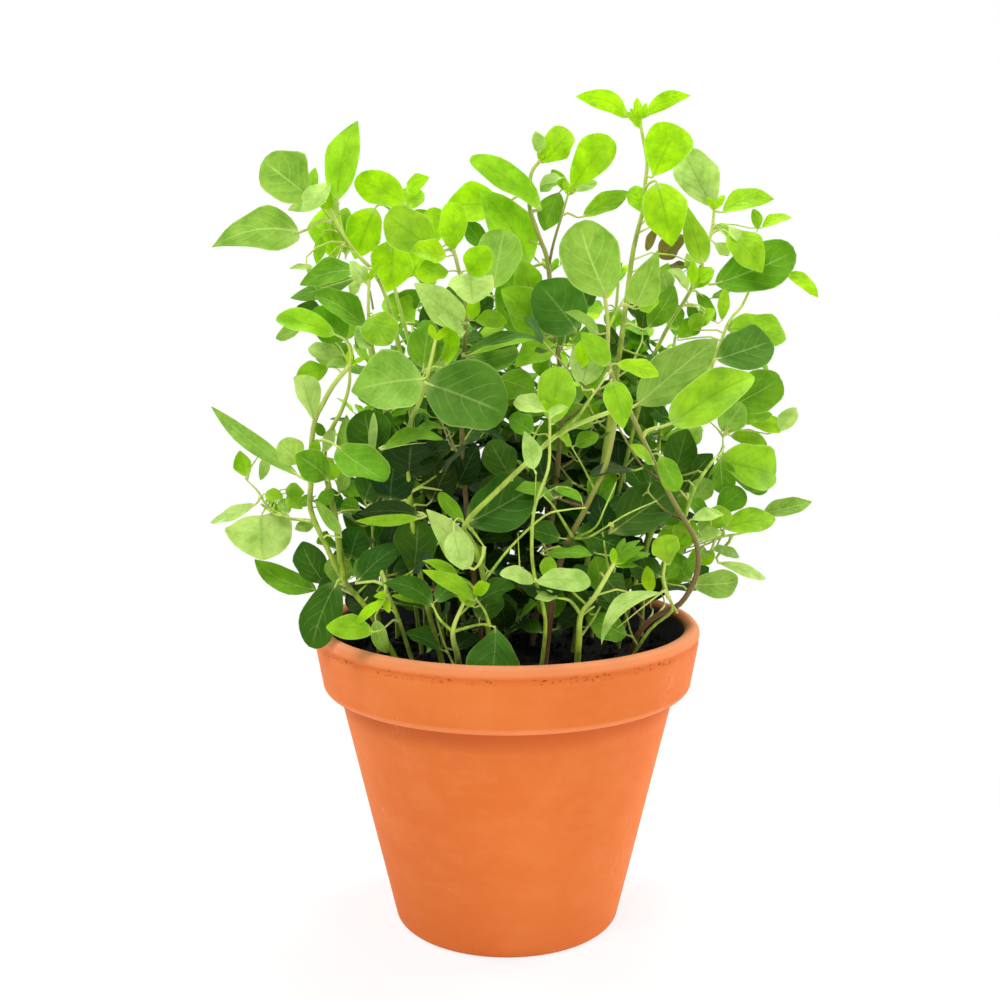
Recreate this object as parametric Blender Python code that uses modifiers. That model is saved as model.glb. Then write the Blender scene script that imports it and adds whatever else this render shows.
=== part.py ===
"""Potted greek oregano: a clay pot, its soil, and the leafy shoots that stand in the soil.

The origin is at the centre of the pot's underside, +Z is up and the fullest side of the plant
looks along -Y. Every shoot is one body: its stem, its side branches, its leaf stalks and its
leaves grew together.
"""

import math

import bmesh
import bpy
import numpy as np
from mathutils import Vector
from mathutils.bvhtree import BVHTree

for old in list(bpy.data.objects):
    bpy.data.objects.remove(old, do_unlink=True)

MM = 0.001

# The pot, in millimetres.
POT_HEIGHT = 121.0
RIM_RADIUS = 76.0          # widest, just under the rounded lip
RIM_LOW_RADIUS = 72.9      # at the rim band's lower edge
RIM_LOW_Z = 95.6
BODY_TOP_RADIUS = 66.8     # the wall just under the rim band
BASE_RADIUS = 44.6
LIP_INNER_RADIUS = 70.0
LIP_INNER_ROUND = 2.6
LIP_OUTER_ROUND = 3.0
WALL = 6.0
KNEE_RADIUS = BODY_TOP_RADIUS - WALL + 2   # where the inside widens towards the rim
KNEE_Z = RIM_LOW_Z - 6
INNER_FLOOR_RADIUS = BASE_RADIUS - WALL + 1.5
FLOOR = 8.0
FOOT_ROUND = 2.5
DRAIN_RADIUS = 7.5
POT_SIDES = 48

# The soil and how deep a stem stands in it.
SOIL_TOP = 110.0
SOIL_GAP = 0.3
SOIL_SIDE_GAP = 0.5
STEM_DEPTH = 12.0
SOCKET_CLEARANCE = 0.4
SOCKET_SPARE = 4.0         # how far the cutter of a stem's hole stands out of the soil

# Leaves and stalks.
BLADE_THICKNESS = 0.8
STALK_RADIUS = 0.80
ROOT_SHIFT = 0.3           # keeps leaves that share a node from starting at one point
NO_STALK = 9.0             # a leaf whose blade starts this near its stem grows straight from it
STALK_MOST = 26.0          # a longer stalk would be a branch
CLEARANCE = 0.45           # kept between the leaves of different shoots
ARCH = 0.10                # how far a blade's middle stands above its chord, by its length

# Colours: base colour and roughness.
CLAY = ((0.82, 0.27, 0.09), 0.80)
EARTH = ((0.012, 0.008, 0.005), 0.95)
GREENS = {
    "mid": (0.20, 0.42, 0.05),
    "dark": (0.07, 0.20, 0.02),
}

parts = bpy.data.collections.new("potted_greek_oregano")
cutters = bpy.data.collections.new("cutters")
bpy.context.scene.collection.children.link(parts)
bpy.context.scene.collection.children.link(cutters)


def material(name, colour, roughness):
    made = bpy.data.materials.new(name)
    made.use_nodes = True
    shader = made.node_tree.nodes["Principled BSDF"]
    shader.inputs["Base Color"].default_value = (*colour, 1.0)
    shader.inputs["Roughness"].default_value = roughness
    return made


def new_object(name, mesh, collection=parts):
    made = bpy.data.objects.new(name, mesh)
    collection.objects.link(made)
    return made


def as_mesh(name, source, weld=1e-3):
    """The evaluated mesh of an object, with the loose caps of its tubes welded."""
    depsgraph = bpy.context.evaluated_depsgraph_get()
    mesh = bpy.data.meshes.new_from_object(source.evaluated_get(depsgraph))
    mesh.name = name
    bm = bmesh.new()
    bm.from_mesh(mesh)
    bmesh.ops.remove_doubles(bm, verts=bm.verts, dist=weld)
    bmesh.ops.delete(bm, geom=[v for v in bm.verts if not v.link_faces], context="VERTS")
    bmesh.ops.recalc_face_normals(bm, faces=bm.faces)
    bm.to_mesh(mesh)
    bm.free()
    return mesh


# ---------------------------------------------------------------- the pot and the soil

def arc(cx, cz, radius, start, end, steps):
    """Points (x, z) on an arc about (cx, cz), angles in degrees from +x."""
    turns = np.radians(np.linspace(start, end, steps))
    return [(cx + radius * math.cos(t), cz + radius * math.sin(t)) for t in turns]


def turned(name, profile, shade):
    """A solid of revolution of a closed profile of (radius, z) in millimetres."""
    bm = bmesh.new()
    verts = [bm.verts.new((r * MM, 0, z * MM)) for r, z in profile]
    for a, b in zip(verts, verts[1:] + verts[:1]):
        bm.edges.new((a, b))
    mesh = bpy.data.meshes.new(name)
    bm.to_mesh(mesh)
    bm.free()
    made = new_object(name, mesh)
    screw = made.modifiers.new("turn", "SCREW")
    screw.steps = screw.render_steps = POT_SIDES
    screw.use_merge_vertices = True
    screw.merge_threshold = 1e-6
    mesh.materials.append(shade)
    return made


def pot():
    profile = arc(RIM_RADIUS - LIP_OUTER_ROUND, POT_HEIGHT - 3.2, LIP_OUTER_ROUND, 80, 0, 3)
    profile += arc(RIM_LOW_RADIUS - 2, RIM_LOW_Z + 2, 2, 0, -90, 3)
    profile += [(BODY_TOP_RADIUS, RIM_LOW_Z)]
    profile += arc(BASE_RADIUS - FOOT_ROUND + 0.6, FOOT_ROUND, FOOT_ROUND, 0, -90, 3)
    profile += [(DRAIN_RADIUS, 0.0), (DRAIN_RADIUS, FLOOR), (INNER_FLOOR_RADIUS, FLOOR)]
    profile += [(KNEE_RADIUS, KNEE_Z)]
    profile += arc(LIP_INNER_RADIUS + LIP_INNER_ROUND, POT_HEIGHT - LIP_INNER_ROUND,
                   LIP_INNER_ROUND, 180, 95, 3)
    return turned("pot", profile, material("terracotta", *CLAY))


def wall_inside(z):
    """The inner radius of the pot at a height."""
    if z < KNEE_Z:
        share = (z - FLOOR) / (KNEE_Z - FLOOR)
        return INNER_FLOOR_RADIUS + (KNEE_RADIUS - INNER_FLOOR_RADIUS) * share
    share = (z - KNEE_Z) / (POT_HEIGHT - LIP_INNER_ROUND - KNEE_Z)
    return KNEE_RADIUS + (LIP_INNER_RADIUS - KNEE_RADIUS) * share


def soil(sockets):
    """The root ball fills the pot, and each stem stands in a hole that it has pushed open."""
    heights = (SOIL_TOP, KNEE_Z, FLOOR + SOIL_GAP)
    profile = [(wall_inside(z) - SOIL_SIDE_GAP, z) for z in heights]
    verts = [(0.0, SOIL_TOP)] + profile + [(0.0, FLOOR + SOIL_GAP)]
    bm = bmesh.new()
    line = [bm.verts.new((r * MM, 0, z * MM)) for r, z in verts]
    for a, b in zip(line, line[1:]):
        bm.edges.new((a, b))
    bmesh.ops.spin(bm, geom=bm.verts[:] + bm.edges[:], axis=(0, 0, 1), cent=(0, 0, 0),
                   angle=math.tau, steps=POT_SIDES, use_merge=True)
    bmesh.ops.remove_doubles(bm, verts=bm.verts, dist=1e-6)
    bmesh.ops.recalc_face_normals(bm, faces=bm.faces)
    mesh = bpy.data.meshes.new("soil")
    bm.to_mesh(mesh)
    bm.free()
    mesh.materials.append(material("potting_soil", *EARTH))
    made = new_object("soil", mesh)

    bm = bmesh.new()
    for x, y, radius in sockets:
        depth = STEM_DEPTH + SOCKET_CLEARANCE + SOCKET_SPARE
        corner = (radius + SOCKET_CLEARANCE) * MM / math.cos(math.pi / 6)
        hole = bmesh.ops.create_cone(bm, cap_ends=True, segments=6, depth=depth * MM,
                                     radius1=corner, radius2=corner)
        middle = SOIL_TOP + SOCKET_SPARE - depth / 2
        bmesh.ops.translate(bm, verts=hole["verts"], vec=Vector((x, y, middle)) * MM)
    mesh = bpy.data.meshes.new("stem_holes")
    bm.to_mesh(mesh)
    bm.free()
    holes = new_object("stem_holes", mesh, cutters)
    holes.hide_render = True
    holes.display_type = "WIRE"
    cut = made.modifiers.new("stem_holes", "BOOLEAN")
    cut.operation = "DIFFERENCE"
    cut.object = holes
    return made


# ---------------------------------------------------------------- leaves, stalks and stems

def blade_frame(base, tip, face):
    """Along, across and upper-side directions of a blade.

    face 0 turns its upper side to -Y and face 90 turns it up; past 100 its underside shows.
    """
    along = (tip - base).normalized()
    turn = math.radians(face)
    look = Vector((0.0, -math.cos(turn), math.sin(turn)))
    upper = look - look.dot(along) * along
    if upper.length < 0.2:
        upper = Vector((0.0, -1.0, 0.3)) - Vector((0.0, -1.0, 0.3)).dot(along) * along
    upper.normalize()
    return along, along.cross(upper), upper


def add_blade(bm, start, base, tip, width, face, extra=0.0):
    """One leaf as a closed shell that tapers to its start on the stem or on its stalk.

    It is thicker and wider by extra all round. Millimetres.
    """
    along, across, upper = blade_frame(base, tip, face)
    length = (tip - base).length
    grid = bmesh.ops.create_grid(bm, x_segments=3, y_segments=1, size=0.5)
    verts = grid["verts"]
    for vert in verts:
        u = vert.co.x + 0.5
        v = vert.co.y * 2
        widest = 1.0 if u < 0.5 else 0.82
        half = (0.5 * width + extra) * widest * (0.01 < u < 0.99)
        rise = ARCH * length * 4 * u * (1 - u)
        reach = u * length + extra * (2 * u - 1)
        vert.co = base + along * reach + across * (half * v) + upper * rise
        if u < 0.01:
            vert.co = start
    faces = list({face for vert in verts for face in vert.link_faces})
    shell = bmesh.ops.extrude_face_region(bm, geom=faces, use_keep_orig=True)
    raised = [item for item in shell["geom"] if isinstance(item, bmesh.types.BMVert)]
    thick = BLADE_THICKNESS + 2 * extra
    bmesh.ops.translate(bm, verts=raised, vec=upper * thick)
    bmesh.ops.translate(bm, verts=verts + raised, vec=upper * (-thick / 2))
    bmesh.ops.remove_doubles(bm, verts=verts, dist=1e-3)
    bmesh.ops.remove_doubles(bm, verts=[v for v in raised if v.is_valid], dist=1e-3)


def add_stalk(bm, start, end, radius):
    """A three-sided stalk between two points, in millimetres."""
    along = end - start
    made = bmesh.ops.create_cone(bm, cap_ends=True, segments=3, radius1=radius,
                                 radius2=radius, depth=along.length)
    turn = along.to_track_quat("Z", "Y").to_matrix().to_4x4()
    bmesh.ops.transform(bm, verts=made["verts"], matrix=turn)
    bmesh.ops.translate(bm, verts=made["verts"], vec=(start + end) / 2)


def tree_of(bm):
    bm.normal_update()
    return BVHTree.FromBMesh(bm)


def stem_points(route):
    """A stem's route with its straight foot in the soil."""
    first = Vector(route[0])
    foot = Vector((first.x, first.y, SOIL_TOP - STEM_DEPTH))
    return [foot] + [Vector(point) for point in route]


def tube_mesh(name, lines):
    """Tapered six-sided tubes along lines of points: [(points, root radius, tip radius)]."""
    curve = bpy.data.curves.new(name, "CURVE")
    curve.dimensions = "3D"
    curve.bevel_depth = 1.0
    curve.bevel_resolution = 1
    curve.use_fill_caps = True
    for points, root, end in lines:
        spline = curve.splines.new("POLY")
        spline.points.add(len(points) - 1)
        for index, point in enumerate(points):
            share = index / (len(points) - 1)
            spline.points[index].co = (*point, 1.0)
            spline.points[index].radius = root + (end - root) * share
    made = new_object(name, curve, cutters)
    mesh = as_mesh(name, made)
    bpy.data.objects.remove(made, do_unlink=True)
    bpy.data.curves.remove(curve)
    return mesh


def nearest_on(lines, point):
    """The place on the stem lines that a leaf at this point grows from, a little below it."""
    best = None
    for points, _, _ in lines:
        for a, b in zip(points, points[1:]):
            span = b - a
            share = max(0.1, min(0.85, (point - a).dot(span) / span.length_squared))
            place = a + span * share
            if place.z < SOIL_TOP + 1.5:
                continue
            gap = (place - point).length + 0.35 * abs(place.z - (point.z - 1.5))
            if best is None or gap < best[0]:
                best = (gap, place)
    place = best[1]
    return place + (point - place).normalized() * ROOT_SHIFT


def leaf_choices():
    """How a leaf may give way to its neighbours: shift of its tip, of its base, extra turn."""
    yield 0, 0, 0
    for shift in (3, -3, 6, -6, 9, -9, 13, -13):
        for turn in (0, 18, -18):
            yield shift, shift * 0.25, turn
    for shift in (4, -4, 9, -9):
        yield shift, shift, 30


def box_of(bm, margin=0.0):
    points = np.array([vert.co[:] for vert in bm.verts])
    return points.min(axis=0) - margin, points.max(axis=0) + margin


def apart(a, b):
    return bool((a[0] > b[1]).any() or (b[0] > a[1]).any())


class Placed:
    """Everything that later leaves have to stay clear of, by the shoot that it belongs to."""

    def __init__(self):
        self.items = []

    def add(self, owner, bm):
        self.items.append((owner, box_of(bm), tree_of(bm)))

    def meets(self, owner, bm):
        box = box_of(bm)
        tree = tree_of(bm)
        for other, other_box, other_tree in self.items:
            if other != owner and not apart(box, other_box) and tree.overlap(other_tree):
                return other
        return None


def leaf_bmesh(lines, base, tip, width, face, extra):
    """A leaf near its stem grows straight from it; one further out has a stalk."""
    bm = bmesh.new()
    stem = nearest_on(lines, base)
    if (stem - base).length < NO_STALK:
        add_blade(bm, stem, base, tip, width, face, extra)
        return bm
    along, _, upper = blade_frame(base, tip, face)
    add_blade(bm, base, base, tip, width, face, extra)
    inside_blade = base + along * 3.0 + upper * (8 * ARCH)
    add_stalk(bm, stem, inside_blade, STALK_RADIUS + extra)
    return bm


def place_leaf(placed, owner, lines, leaf):
    """The leaf's own place, or the nearest one that is clear of the other shoots."""
    base, tip, width, face = leaf
    base, tip = Vector(base), Vector(tip)
    for grow in (1.0, 0.75):
        for tip_shift, base_shift, turn in leaf_choices():
            new_base = base + Vector((0, base_shift, 0))
            new_tip = tip + Vector((0, tip_shift, 0))
            if (nearest_on(lines, new_base) - new_base).length > STALK_MOST:
                continue
            made = leaf_bmesh(lines, new_base, new_tip, width * grow, face + turn, CLEARANCE)
            hit = placed.meets(owner, made)
            made.free()
            if hit is None:
                return new_base, new_tip, width * grow, face + turn
    return None


def joined(name, body_mesh, extra_mesh, shade):
    """One closed body of a stem and everything that grows on it."""
    body = new_object(name, body_mesh)
    more = new_object(name + "_leaves", extra_mesh, cutters)
    union = body.modifiers.new("grown_together", "BOOLEAN")
    union.operation = "UNION"
    union.use_self = True
    union.object = more
    mesh = as_mesh(name, body)
    bpy.data.objects.remove(more, do_unlink=True)
    body.modifiers.clear()
    body.data = mesh
    mesh.transform(((MM, 0, 0, 0), (0, MM, 0, 0), (0, 0, MM, 0), (0, 0, 0, 1)))
    mesh.materials.clear()
    mesh.materials.append(shade)
    return body


# ---------------------------------------------------------------- the shoots

# Every shoot: radius of its stem at the soil and at its tip; its stem and side branches as
# points; its leaves as blade base, blade tip, width and face. Millimetres and degrees.
SHOOTS = {
    "shoot_upper_left": ((1.2, 0.8), [
        [(-25, -6, 112), (-31, -12, 160), (-37, -15, 208), (-42, -16, 236), (-48, -15, 254),
         (-55, -13, 262), (-61, -12, 270), (-66, -12, 280)],
    ], [
        ((-76, -12, 271.5), (-110, -20, 266), 17, 40),
        ((-64, -10, 283), (-56.5, -14, 312), 14, 20),
        ((-74.5, -14, 285), (-91, -22, 297), 16, 30),
        ((-67.5, -12, 288), (-82, -18, 279.5), 8, 50),
        ((-61, 2, 266), (-72.5, 8, 281), 13, 20),
        ((-57, -8, 258), (-79, -10, 254), 9, 45),
        ((-61, -34, 255), (-78, -38, 247.5), 9, 150),
    ]),
    "shoot_inner_left": ((1.1, 0.7), [
        [(-16, 4, 112), (-24, -2, 160), (-32, -4, 205), (-38, -5, 232), (-43, -6, 252),
         (-45, -5, 266), (-43, -4, 281)],
    ], [
        ((-45, -5, 283), (-57, -10, 288.5), 13, 25),
        ((-41, -4, 284), (-30, -8, 292), 10, 25),
        ((-46, -4, 265), (-56, -6, 281), 14, 15),
        ((-38, 2, 255), (-28, 6, 268), 12, 20),
        ((-36, 0, 238), (-47, 4, 247), 12, 30),
    ]),
    "shoot_middle_left": ((1.1, 0.7), [
        [(-33, -16, 112), (-37, -24, 150), (-42, -31, 190), (-46, -34, 215), (-49, -37, 233),
         (-49.5, -38, 243), (-49, -38, 253)],
    ], [
        ((-53, -38, 239.5), (-69, -48, 249.5), 15, 30),
        ((-47.5, -40, 240.5), (-41, -48, 230), 13, 30),
        ((-47, -39, 236), (-52, -46, 229), 9, 30),
        ((-52, -34, 236), (-62, -30, 232), 8, 45),
        ((-50, -38, 252), (-56, -40, 259), 7, 40),
    ]),
    "shoot_arching_left": ((1.4, 0.8), [
        [(-42, -28, 112), (-51, -34, 131), (-60.5, -36, 144), (-66, -37, 156), (-71.5, -38, 170),
         (-73, -40, 182.5), (-72.5, -41, 193.5), (-69, -41, 205), (-63, -42, 215.5),
         (-57, -42, 222.5)],
        [(-57, -42, 222.5), (-58, -38, 213), (-61.5, -37, 205), (-65, -36, 197), (-68, -35, 187),
         (-68.5, -34, 176), (-64.5, -33, 160), (-60.5, -36, 144)],
        [(-70.5, -38, 166), (-83, -25, 165.5), (-92, -15, 169), (-95.5, -12, 173.5),
         (-100.5, -10, 178)],
    ], [
        ((-59.5, -44, 227), (-81, -52, 239), 13, 35),
        ((-58, -37, 232), (-68.5, -42, 242.5), 13, 30),
        ((-67, -30, 240), (-76, -32, 243.5), 7, 30),
        ((-74, -34, 235), (-82, -36, 232.5), 7, 40),
        ((-64.5, -40, 223.5), (-76, -45, 218.5), 9, 35),
        ((-70, -42, 203), (-76, -48, 217), 9, 160),
        ((-58, -40, 222), (-71, -39, 228), 8, 60),
        ((-74, -42, 188.5), (-81, -48, 195.5), 10, 25),
        ((-65, -48, 183), (-75, -56, 192), 13, 20),
        ((-61, -50, 191), (-42, -62, 189), 13, 45),
        ((-102, -10, 180), (-103, -14, 189), 7, 10),
        ((-82, -16, 181), (-114.5, -4, 207), 8, 55),
        ((-86, -15, 175), (-78, -20, 176), 6, 25),
        ((-85, -16, 171.5), (-78, -21, 167), 7, 25),
        ((-99, -6, 168), (-117.5, 4, 159), 7, 45),
        ((-93.5, -16, 164.5), (-94, -26, 147.5), 25, 165),
        ((-73.5, -30, 163), (-81, -31, 161), 6, 30),
        ((-73, -16, 136), (-97, -10, 147), 10, 45),
        ((-69, -22, 141), (-79, -20, 156), 14, 25),
        ((-63, -36, 142), (-73, -43, 119), 16, 15),
        ((-58, -25, 146), (-70, -28, 147), 12, 40),
        ((-64.5, -25, 167), (-70.5, -24, 181), 9, 20),
    ]),
    "shoot_low_left": ((1, 0.7), [
        [(-34, -42, 112), (-39, -45, 130), (-44, -50, 145), (-44.5, -52, 150), (-43, -54, 146),
         (-43.5, -55, 141)],
    ], [
        ((-48, -58, 134.5), (-63.5, -64, 131), 11, 40),
        ((-44, -55, 132.5), (-41.5, -50, 118), 6, 20),
        ((-41, -57, 142), (-31, -62, 141.5), 8, 65),
        ((-47, -46, 133), (-38, -44, 157), 15, 15),
    ]),
    "shoot_round_leaved": ((1.3, 0.8), [
        [(-24, -36, 112), (-32, -44, 150), (-35, -49, 185), (-34, -53, 202), (-30, -57, 211),
         (-27.5, -58, 219), (-24.5, -57, 232)],
    ], [
        ((-29, -61, 219), (-52.5, -68, 216), 24, 12),
        ((-26, -62, 217.5), (-1.5, -68, 205), 22, 15),
        ((-29, -54, 222), (-26.5, -48, 238), 13, 15),
        ((-21, -54, 223), (-20.5, -50, 237), 7, 20),
        ((-36, -50, 186), (-52, -55, 200), 16, 20),
        ((-33, -48, 190), (-45, -54, 196), 11, 30),
        ((-32, -50, 190), (-20, -55, 194), 11, 30),
        ((-31, -56, 171), (-54, -66, 169), 11, 65),
    ]),
    "shoot_centre_left": ((1.2, 0.8), [
        [(-9, -22, 112), (-13, -32, 150), (-16, -41, 190), (-15.5, -46, 222), (-14.5, -49, 234),
         (-14.5, -50, 246), (-17, -51, 257), (-18.5, -52, 263)],
    ], [
        ((-18.5, -50, 265.5), (-18.5, -48, 279.5), 10, 10),
        ((-25, -44, 263.5), (-38.5, -40, 276.5), 14, 20),
        ((-21, -54, 260.5), (-32, -58, 260), 9, 35),
        ((-20, -52, 256), (-31.5, -56, 255.5), 9, 35),
        ((-16, -56, 255), (-5, -64, 260.5), 12, 30),
        ((-13, -48, 256.5), (0, -44, 268.5), 14, 20),
        ((-13, -56, 253), (-12, -66, 244), 16, 25),
        ((-17, -53, 240.5), (-32, -60, 251.5), 14, 20),
        ((-15, -52, 235), (-24, -62, 239.5), 8, 35),
        ((-11, -52, 238.5), (0, -54, 238), 7, 35),
        ((-13.5, -48, 227), (12.5, -56, 233), 11, 50),
        ((-12.5, -43, 223.5), (4, -50, 227), 12, 25),
        ((-3, -34, 217.5), (9.5, -36, 212.5), 12, 20),
    ]),
    "shoot_centre": ((1.3, 0.9), [
        [(10, -4, 112), (17, -12, 160), (20.5, -14, 200), (20, -15, 221), (18, -14, 232),
         (16, -12, 245), (15, -12, 257), (17, -12, 266), (21, -12, 280)],
        [(15.6, -12, 251), (11, -12.3, 268), (8, -12, 281), (9, -12, 293), (12, -12, 300)],
    ], [
        ((8, -13, 279.5), (-13, -20, 297.5), 14, 35),
        ((12.5, -13, 301), (21.5, -16, 310), 14, 30),
        ((11, -14, 300), (5, -18, 308), 8, 40),
        ((24, -12, 287), (37.5, -18, 306.5), 16, 25),
        ((18.5, -7, 283), (12, -9, 270), 11, 25),
        ((28.5, -6, 277), (45, -4, 287), 10, 45),
        ((10, -6, 262), (-9.5, -8, 287), 17, 20),
        ((-2, 8, 277), (-20, 12, 290), 14, 25),
        ((12, -8, 252), (2, -10, 264), 10, 25),
        ((13.5, -16, 232.5), (-2, -22, 250), 17, 20),
        ((9, -9, 240), (5, -7, 258), 11, 20),
        ((25.5, -21, 235), (11.5, -30, 252), 21, 15),
        ((17.5, -19, 229.5), (3, -25, 222), 11, 35),
    ]),
    "shoot_trailing_right": ((1.4, 0.9), [
        [(50, -32, 112), (57, -38, 122), (62.5, -43, 134), (68, -45, 146), (69, -45, 154),
         (67, -45, 162), (59.5, -49, 174), (51, -55, 190), (43, -59, 206), (36.5, -60, 218),
         (34.5, -60, 227), (34.5, -59, 237), (33.5, -58, 246)],
        [(67, -45, 162), (64.5, -42, 169), (68, -34, 179), (74, -26, 185.5), (80.5, -20, 190),
         (81, -17, 197)],
        [(34.5, -59, 236), (40, -58, 246)],
        [(66.7, -44.3, 160), (79, -28, 158.5), (91, -17, 158.5), (97, -11, 161)],
        [(62, -43, 133), (58, -50, 140)],
    ], [
        ((33.5, -58, 248), (24, -62, 272), 16, 20),
        ((40, -58, 247), (50, -64, 262), 14, 20),
        ((33, -62, 226.5), (19, -66, 241), 10, 30),
        ((36, -61, 223), (51, -66, 220.5), 9, 45),
        ((36.5, -64, 216), (44, -71, 203), 12, 25),
        ((50, -58, 193.5), (42, -62, 195.5), 6, 40),
        ((53, -58, 192), (59, -62, 180), 8, 35),
        ((56.5, -58, 203), (82.5, -64, 218.5), 18, 25),
        ((46, -48, 209), (75.5, -40, 231.5), 20, 20),
        ((57, -51, 142.5), (34, -62, 127), 8, 50),
        ((71.5, -31, 142), (88, -22, 139), 13, 20),
        ((79, -18, 147), (102, -8, 140.5), 7, 55),
        ((76, -30, 154.5), (88, -22, 151), 7, 50),
        ((77, -28, 160), (103, -16, 164.5), 11, 40),
        ((98, -10, 163), (118, -4, 168), 8, 40),
        ((71.5, -38, 159), (80, -37, 162), 7, 35),
        ((67, -42, 167), (80, -35, 168), 9, 35),
        ((80, -24, 167.5), (91, -20, 174.5), 11, 25),
        ((83.5, -19, 188), (101, -12, 179), 15, 25),
        ((84, -11, 186), (100, -6, 173), 12, 25),
        ((81, -22, 187), (85.5, -22, 171), 10, 25),
        ((82, -16, 197), (89, -16, 205.5), 10, 25),
        ((92, -12, 199.5), (111.5, -6, 198), 10, 45),
        ((86, -12, 195), (99.5, -10, 191.5), 7, 40),
        ((78, -14, 197), (70, -10, 191), 7, 30),
    ]),
    "shoot_diagonal": ((1.2, 1), [
        [(-6, -44, 112), (-8, -50, 145), (-12, -57, 161), (-14, -60, 169.5), (-4.5, -60, 179),
         (4.5, -60, 188), (15, -59, 198.5), (23.5, -58, 206), (29, -56, 214)],
    ], [
        ((-13, -56, 168.5), (9, -49, 180), 20, 15),
        ((-14, -64, 158), (-29.5, -72, 175), 12, 30),
        ((-16.5, -58, 169.5), (-24, -58, 179), 7, 20),
        ((26, -54, 216), (29.5, -54, 234), 12, 10),
        ((1, -50, 184), (-6, -46, 196), 12, 25),
    ]),
    "shoot_slender": ((0.9, 0.6), [
        [(12, -52, 112), (13.5, -60, 134), (9.5, -66, 151), (8.5, -66, 161.5), (9.5, -66, 175),
         (14, -66, 188), (14.5, -66, 199), (14.5, -66, 207)],
        [(9.5, -66, 175), (14, -65, 178), (18.5, -64, 180), (22, -62, 178), (25, -60, 174.5)],
    ], [
        ((15, -63, 207.5), (18.5, -60, 223.5), 14, 5),
        ((13, -68, 208), (2, -74, 211.5), 8, 45),
        ((9, -60, 200), (1, -58, 205.5), 8, 25),
        ((10.5, -63, 187), (6, -66, 201), 7, 20),
        ((8, -68, 150.5), (-2, -74, 155), 8, 30),
        ((10.5, -68, 150.5), (28, -76, 148.5), 11, 30),
        ((12.5, -63, 151), (11, -62, 158), 6, 20),
        ((22.5, -63, 179.5), (17, -67, 181), 6, 40),
    ]),
    "shoot_front_brown": ((1.5, 1.1), [
        [(14, -36, 112), (17, -42, 140), (20, -46, 155), (22.5, -49, 162), (27, -50, 170.5),
         (31, -50, 179), (35, -50, 188), (37.5, -50, 200), (38.5, -51, 209)],
        [(31, -50, 179), (27, -52, 187), (23, -53, 194)],
    ], [
        ((38, -44, 165), (59, -37, 178), 18, 20),
        ((31, -47, 171), (37, -44, 187), 10, 15),
        ((13, -58, 157), (29.5, -63, 158), 8, 60),
        ((24, -52, 195), (32, -54, 199), 6, 30),
        ((24, -44, 163), (42, -40, 156), 13, 30),
        ((19, -52, 162), (7, -55, 166), 9, 30),
    ]),
    "shoot_low_right": ((1.5, 1), [
        [(25, -52, 112), (25.5, -58, 127), (26, -60, 136), (31, -60, 146), (37, -60, 154),
         (45, -58, 161), (52, -56, 160.5)],
        [(26, -60, 136), (22, -62, 141.5), (17, -64, 143)],
        [(26, -60, 136), (30.5, -62, 139.5)],
    ], [
        ((30.5, -62, 139.5), (41, -68, 136), 7, 35),
        ((40, -60, 157), (53, -63, 154), 7, 55),
        ((47, -57, 162), (58, -58, 165), 8, 50),
        ((33, -56, 150), (42, -50, 138), 11, 25),
    ]),
    "shoot_lime_right": ((1, 0.8), [
        [(44, -40, 112), (52, -44, 124), (58, -46, 136), (58.5, -46, 147), (58, -46, 154)],
    ], [
        ((57.5, -46.5, 155), (54.5, -53, 163.5), 13, 20),
        ((56, -42, 146), (46, -36, 150), 10, 35),
    ]),
    "shoot_right_side": ((1.3, 0.8), [
        [(44, -6, 112), (54, -8, 150), (65, -10, 180), (72, -10, 200), (75, -10, 215),
         (78, -6, 228), (84, 0, 238), (91, 4, 246), (95, 6, 253)],
    ], [
        ((77.5, -21, 224.5), (99.5, -14, 230), 18, 20),
        ((85, 0, 238), (107, 4, 231), 14, 30),
        ((86, -12, 206), (103.5, -10, 217.5), 14, 30),
        ((106, 2, 257), (118.5, -4, 248), 7, 45),
        ((68, 2, 196), (58, 8, 206), 13, 25),
        ((62, -2, 172), (74, 6, 182), 12, 30),
    ]),
    "shoot_tallest": ((1.4, 0.8), [
        [(26, -12, 112), (33, -14, 160), (40, -14, 208), (44, -12, 238), (47, -9, 261),
         (49, -8, 271), (51.5, -7, 281), (52, -7, 290), (52.5, -7, 298), (50.5, -7, 308),
         (50, -7, 312)],
    ], [
        ((46, -7, 315.5), (27, -11, 322), 11, 40),
        ((53, -7, 315), (69.5, -9, 322.5), 10, 50),
        ((56, -9, 294), (64.5, -14, 311), 16, 20),
        ((54.5, -11, 288.5), (62, -16, 268), 15, 20),
        ((51, -4, 283), (46, 0, 289), 8, 30),
        ((54, 2, 270), (64, 5, 264), 9, 40),
        ((56, -16, 247), (62, -15, 263), 11, 20),
        ((53, -16, 236), (62.5, -18, 251), 10, 20),
        ((49, -20, 243), (56, -23, 246), 8, 30),
    ]),
    "shoot_upper_right": ((1.2, 0.8), [
        [(34, 6, 112), (38, 3, 145), (46, -2, 182), (54, -5, 218), (61, -5, 235), (68.5, -4, 247),
         (73, -2, 256), (77, 0, 267), (79, 2, 275), (79.5, 2, 281)],
    ], [
        ((82, 2, 280.5), (101, 0, 285), 12, 45),
        ((92, 3, 273), (107.5, 4, 278), 7, 40),
        ((82, -3, 271), (97, -9, 257.5), 15, 25),
        ((80, 5, 254), (111, 0, 267), 19, 25),
        ((76, 4, 281), (70, 8, 303), 14, 15),
        ((77.5, 5, 284), (70, 8, 292), 6, 30),
        ((76.5, -5, 265), (65, -7, 285), 11, 25),
        ((68.5, -7, 250), (60, -13, 257), 8, 45),
        ((71, 0, 250.5), (80, 2, 258), 7, 40),
        ((81, 1, 240), (83.5, -2, 253), 7, 25),
        ((79, 3, 241), (72.5, 0, 249), 6, 30),
    ]),
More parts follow.
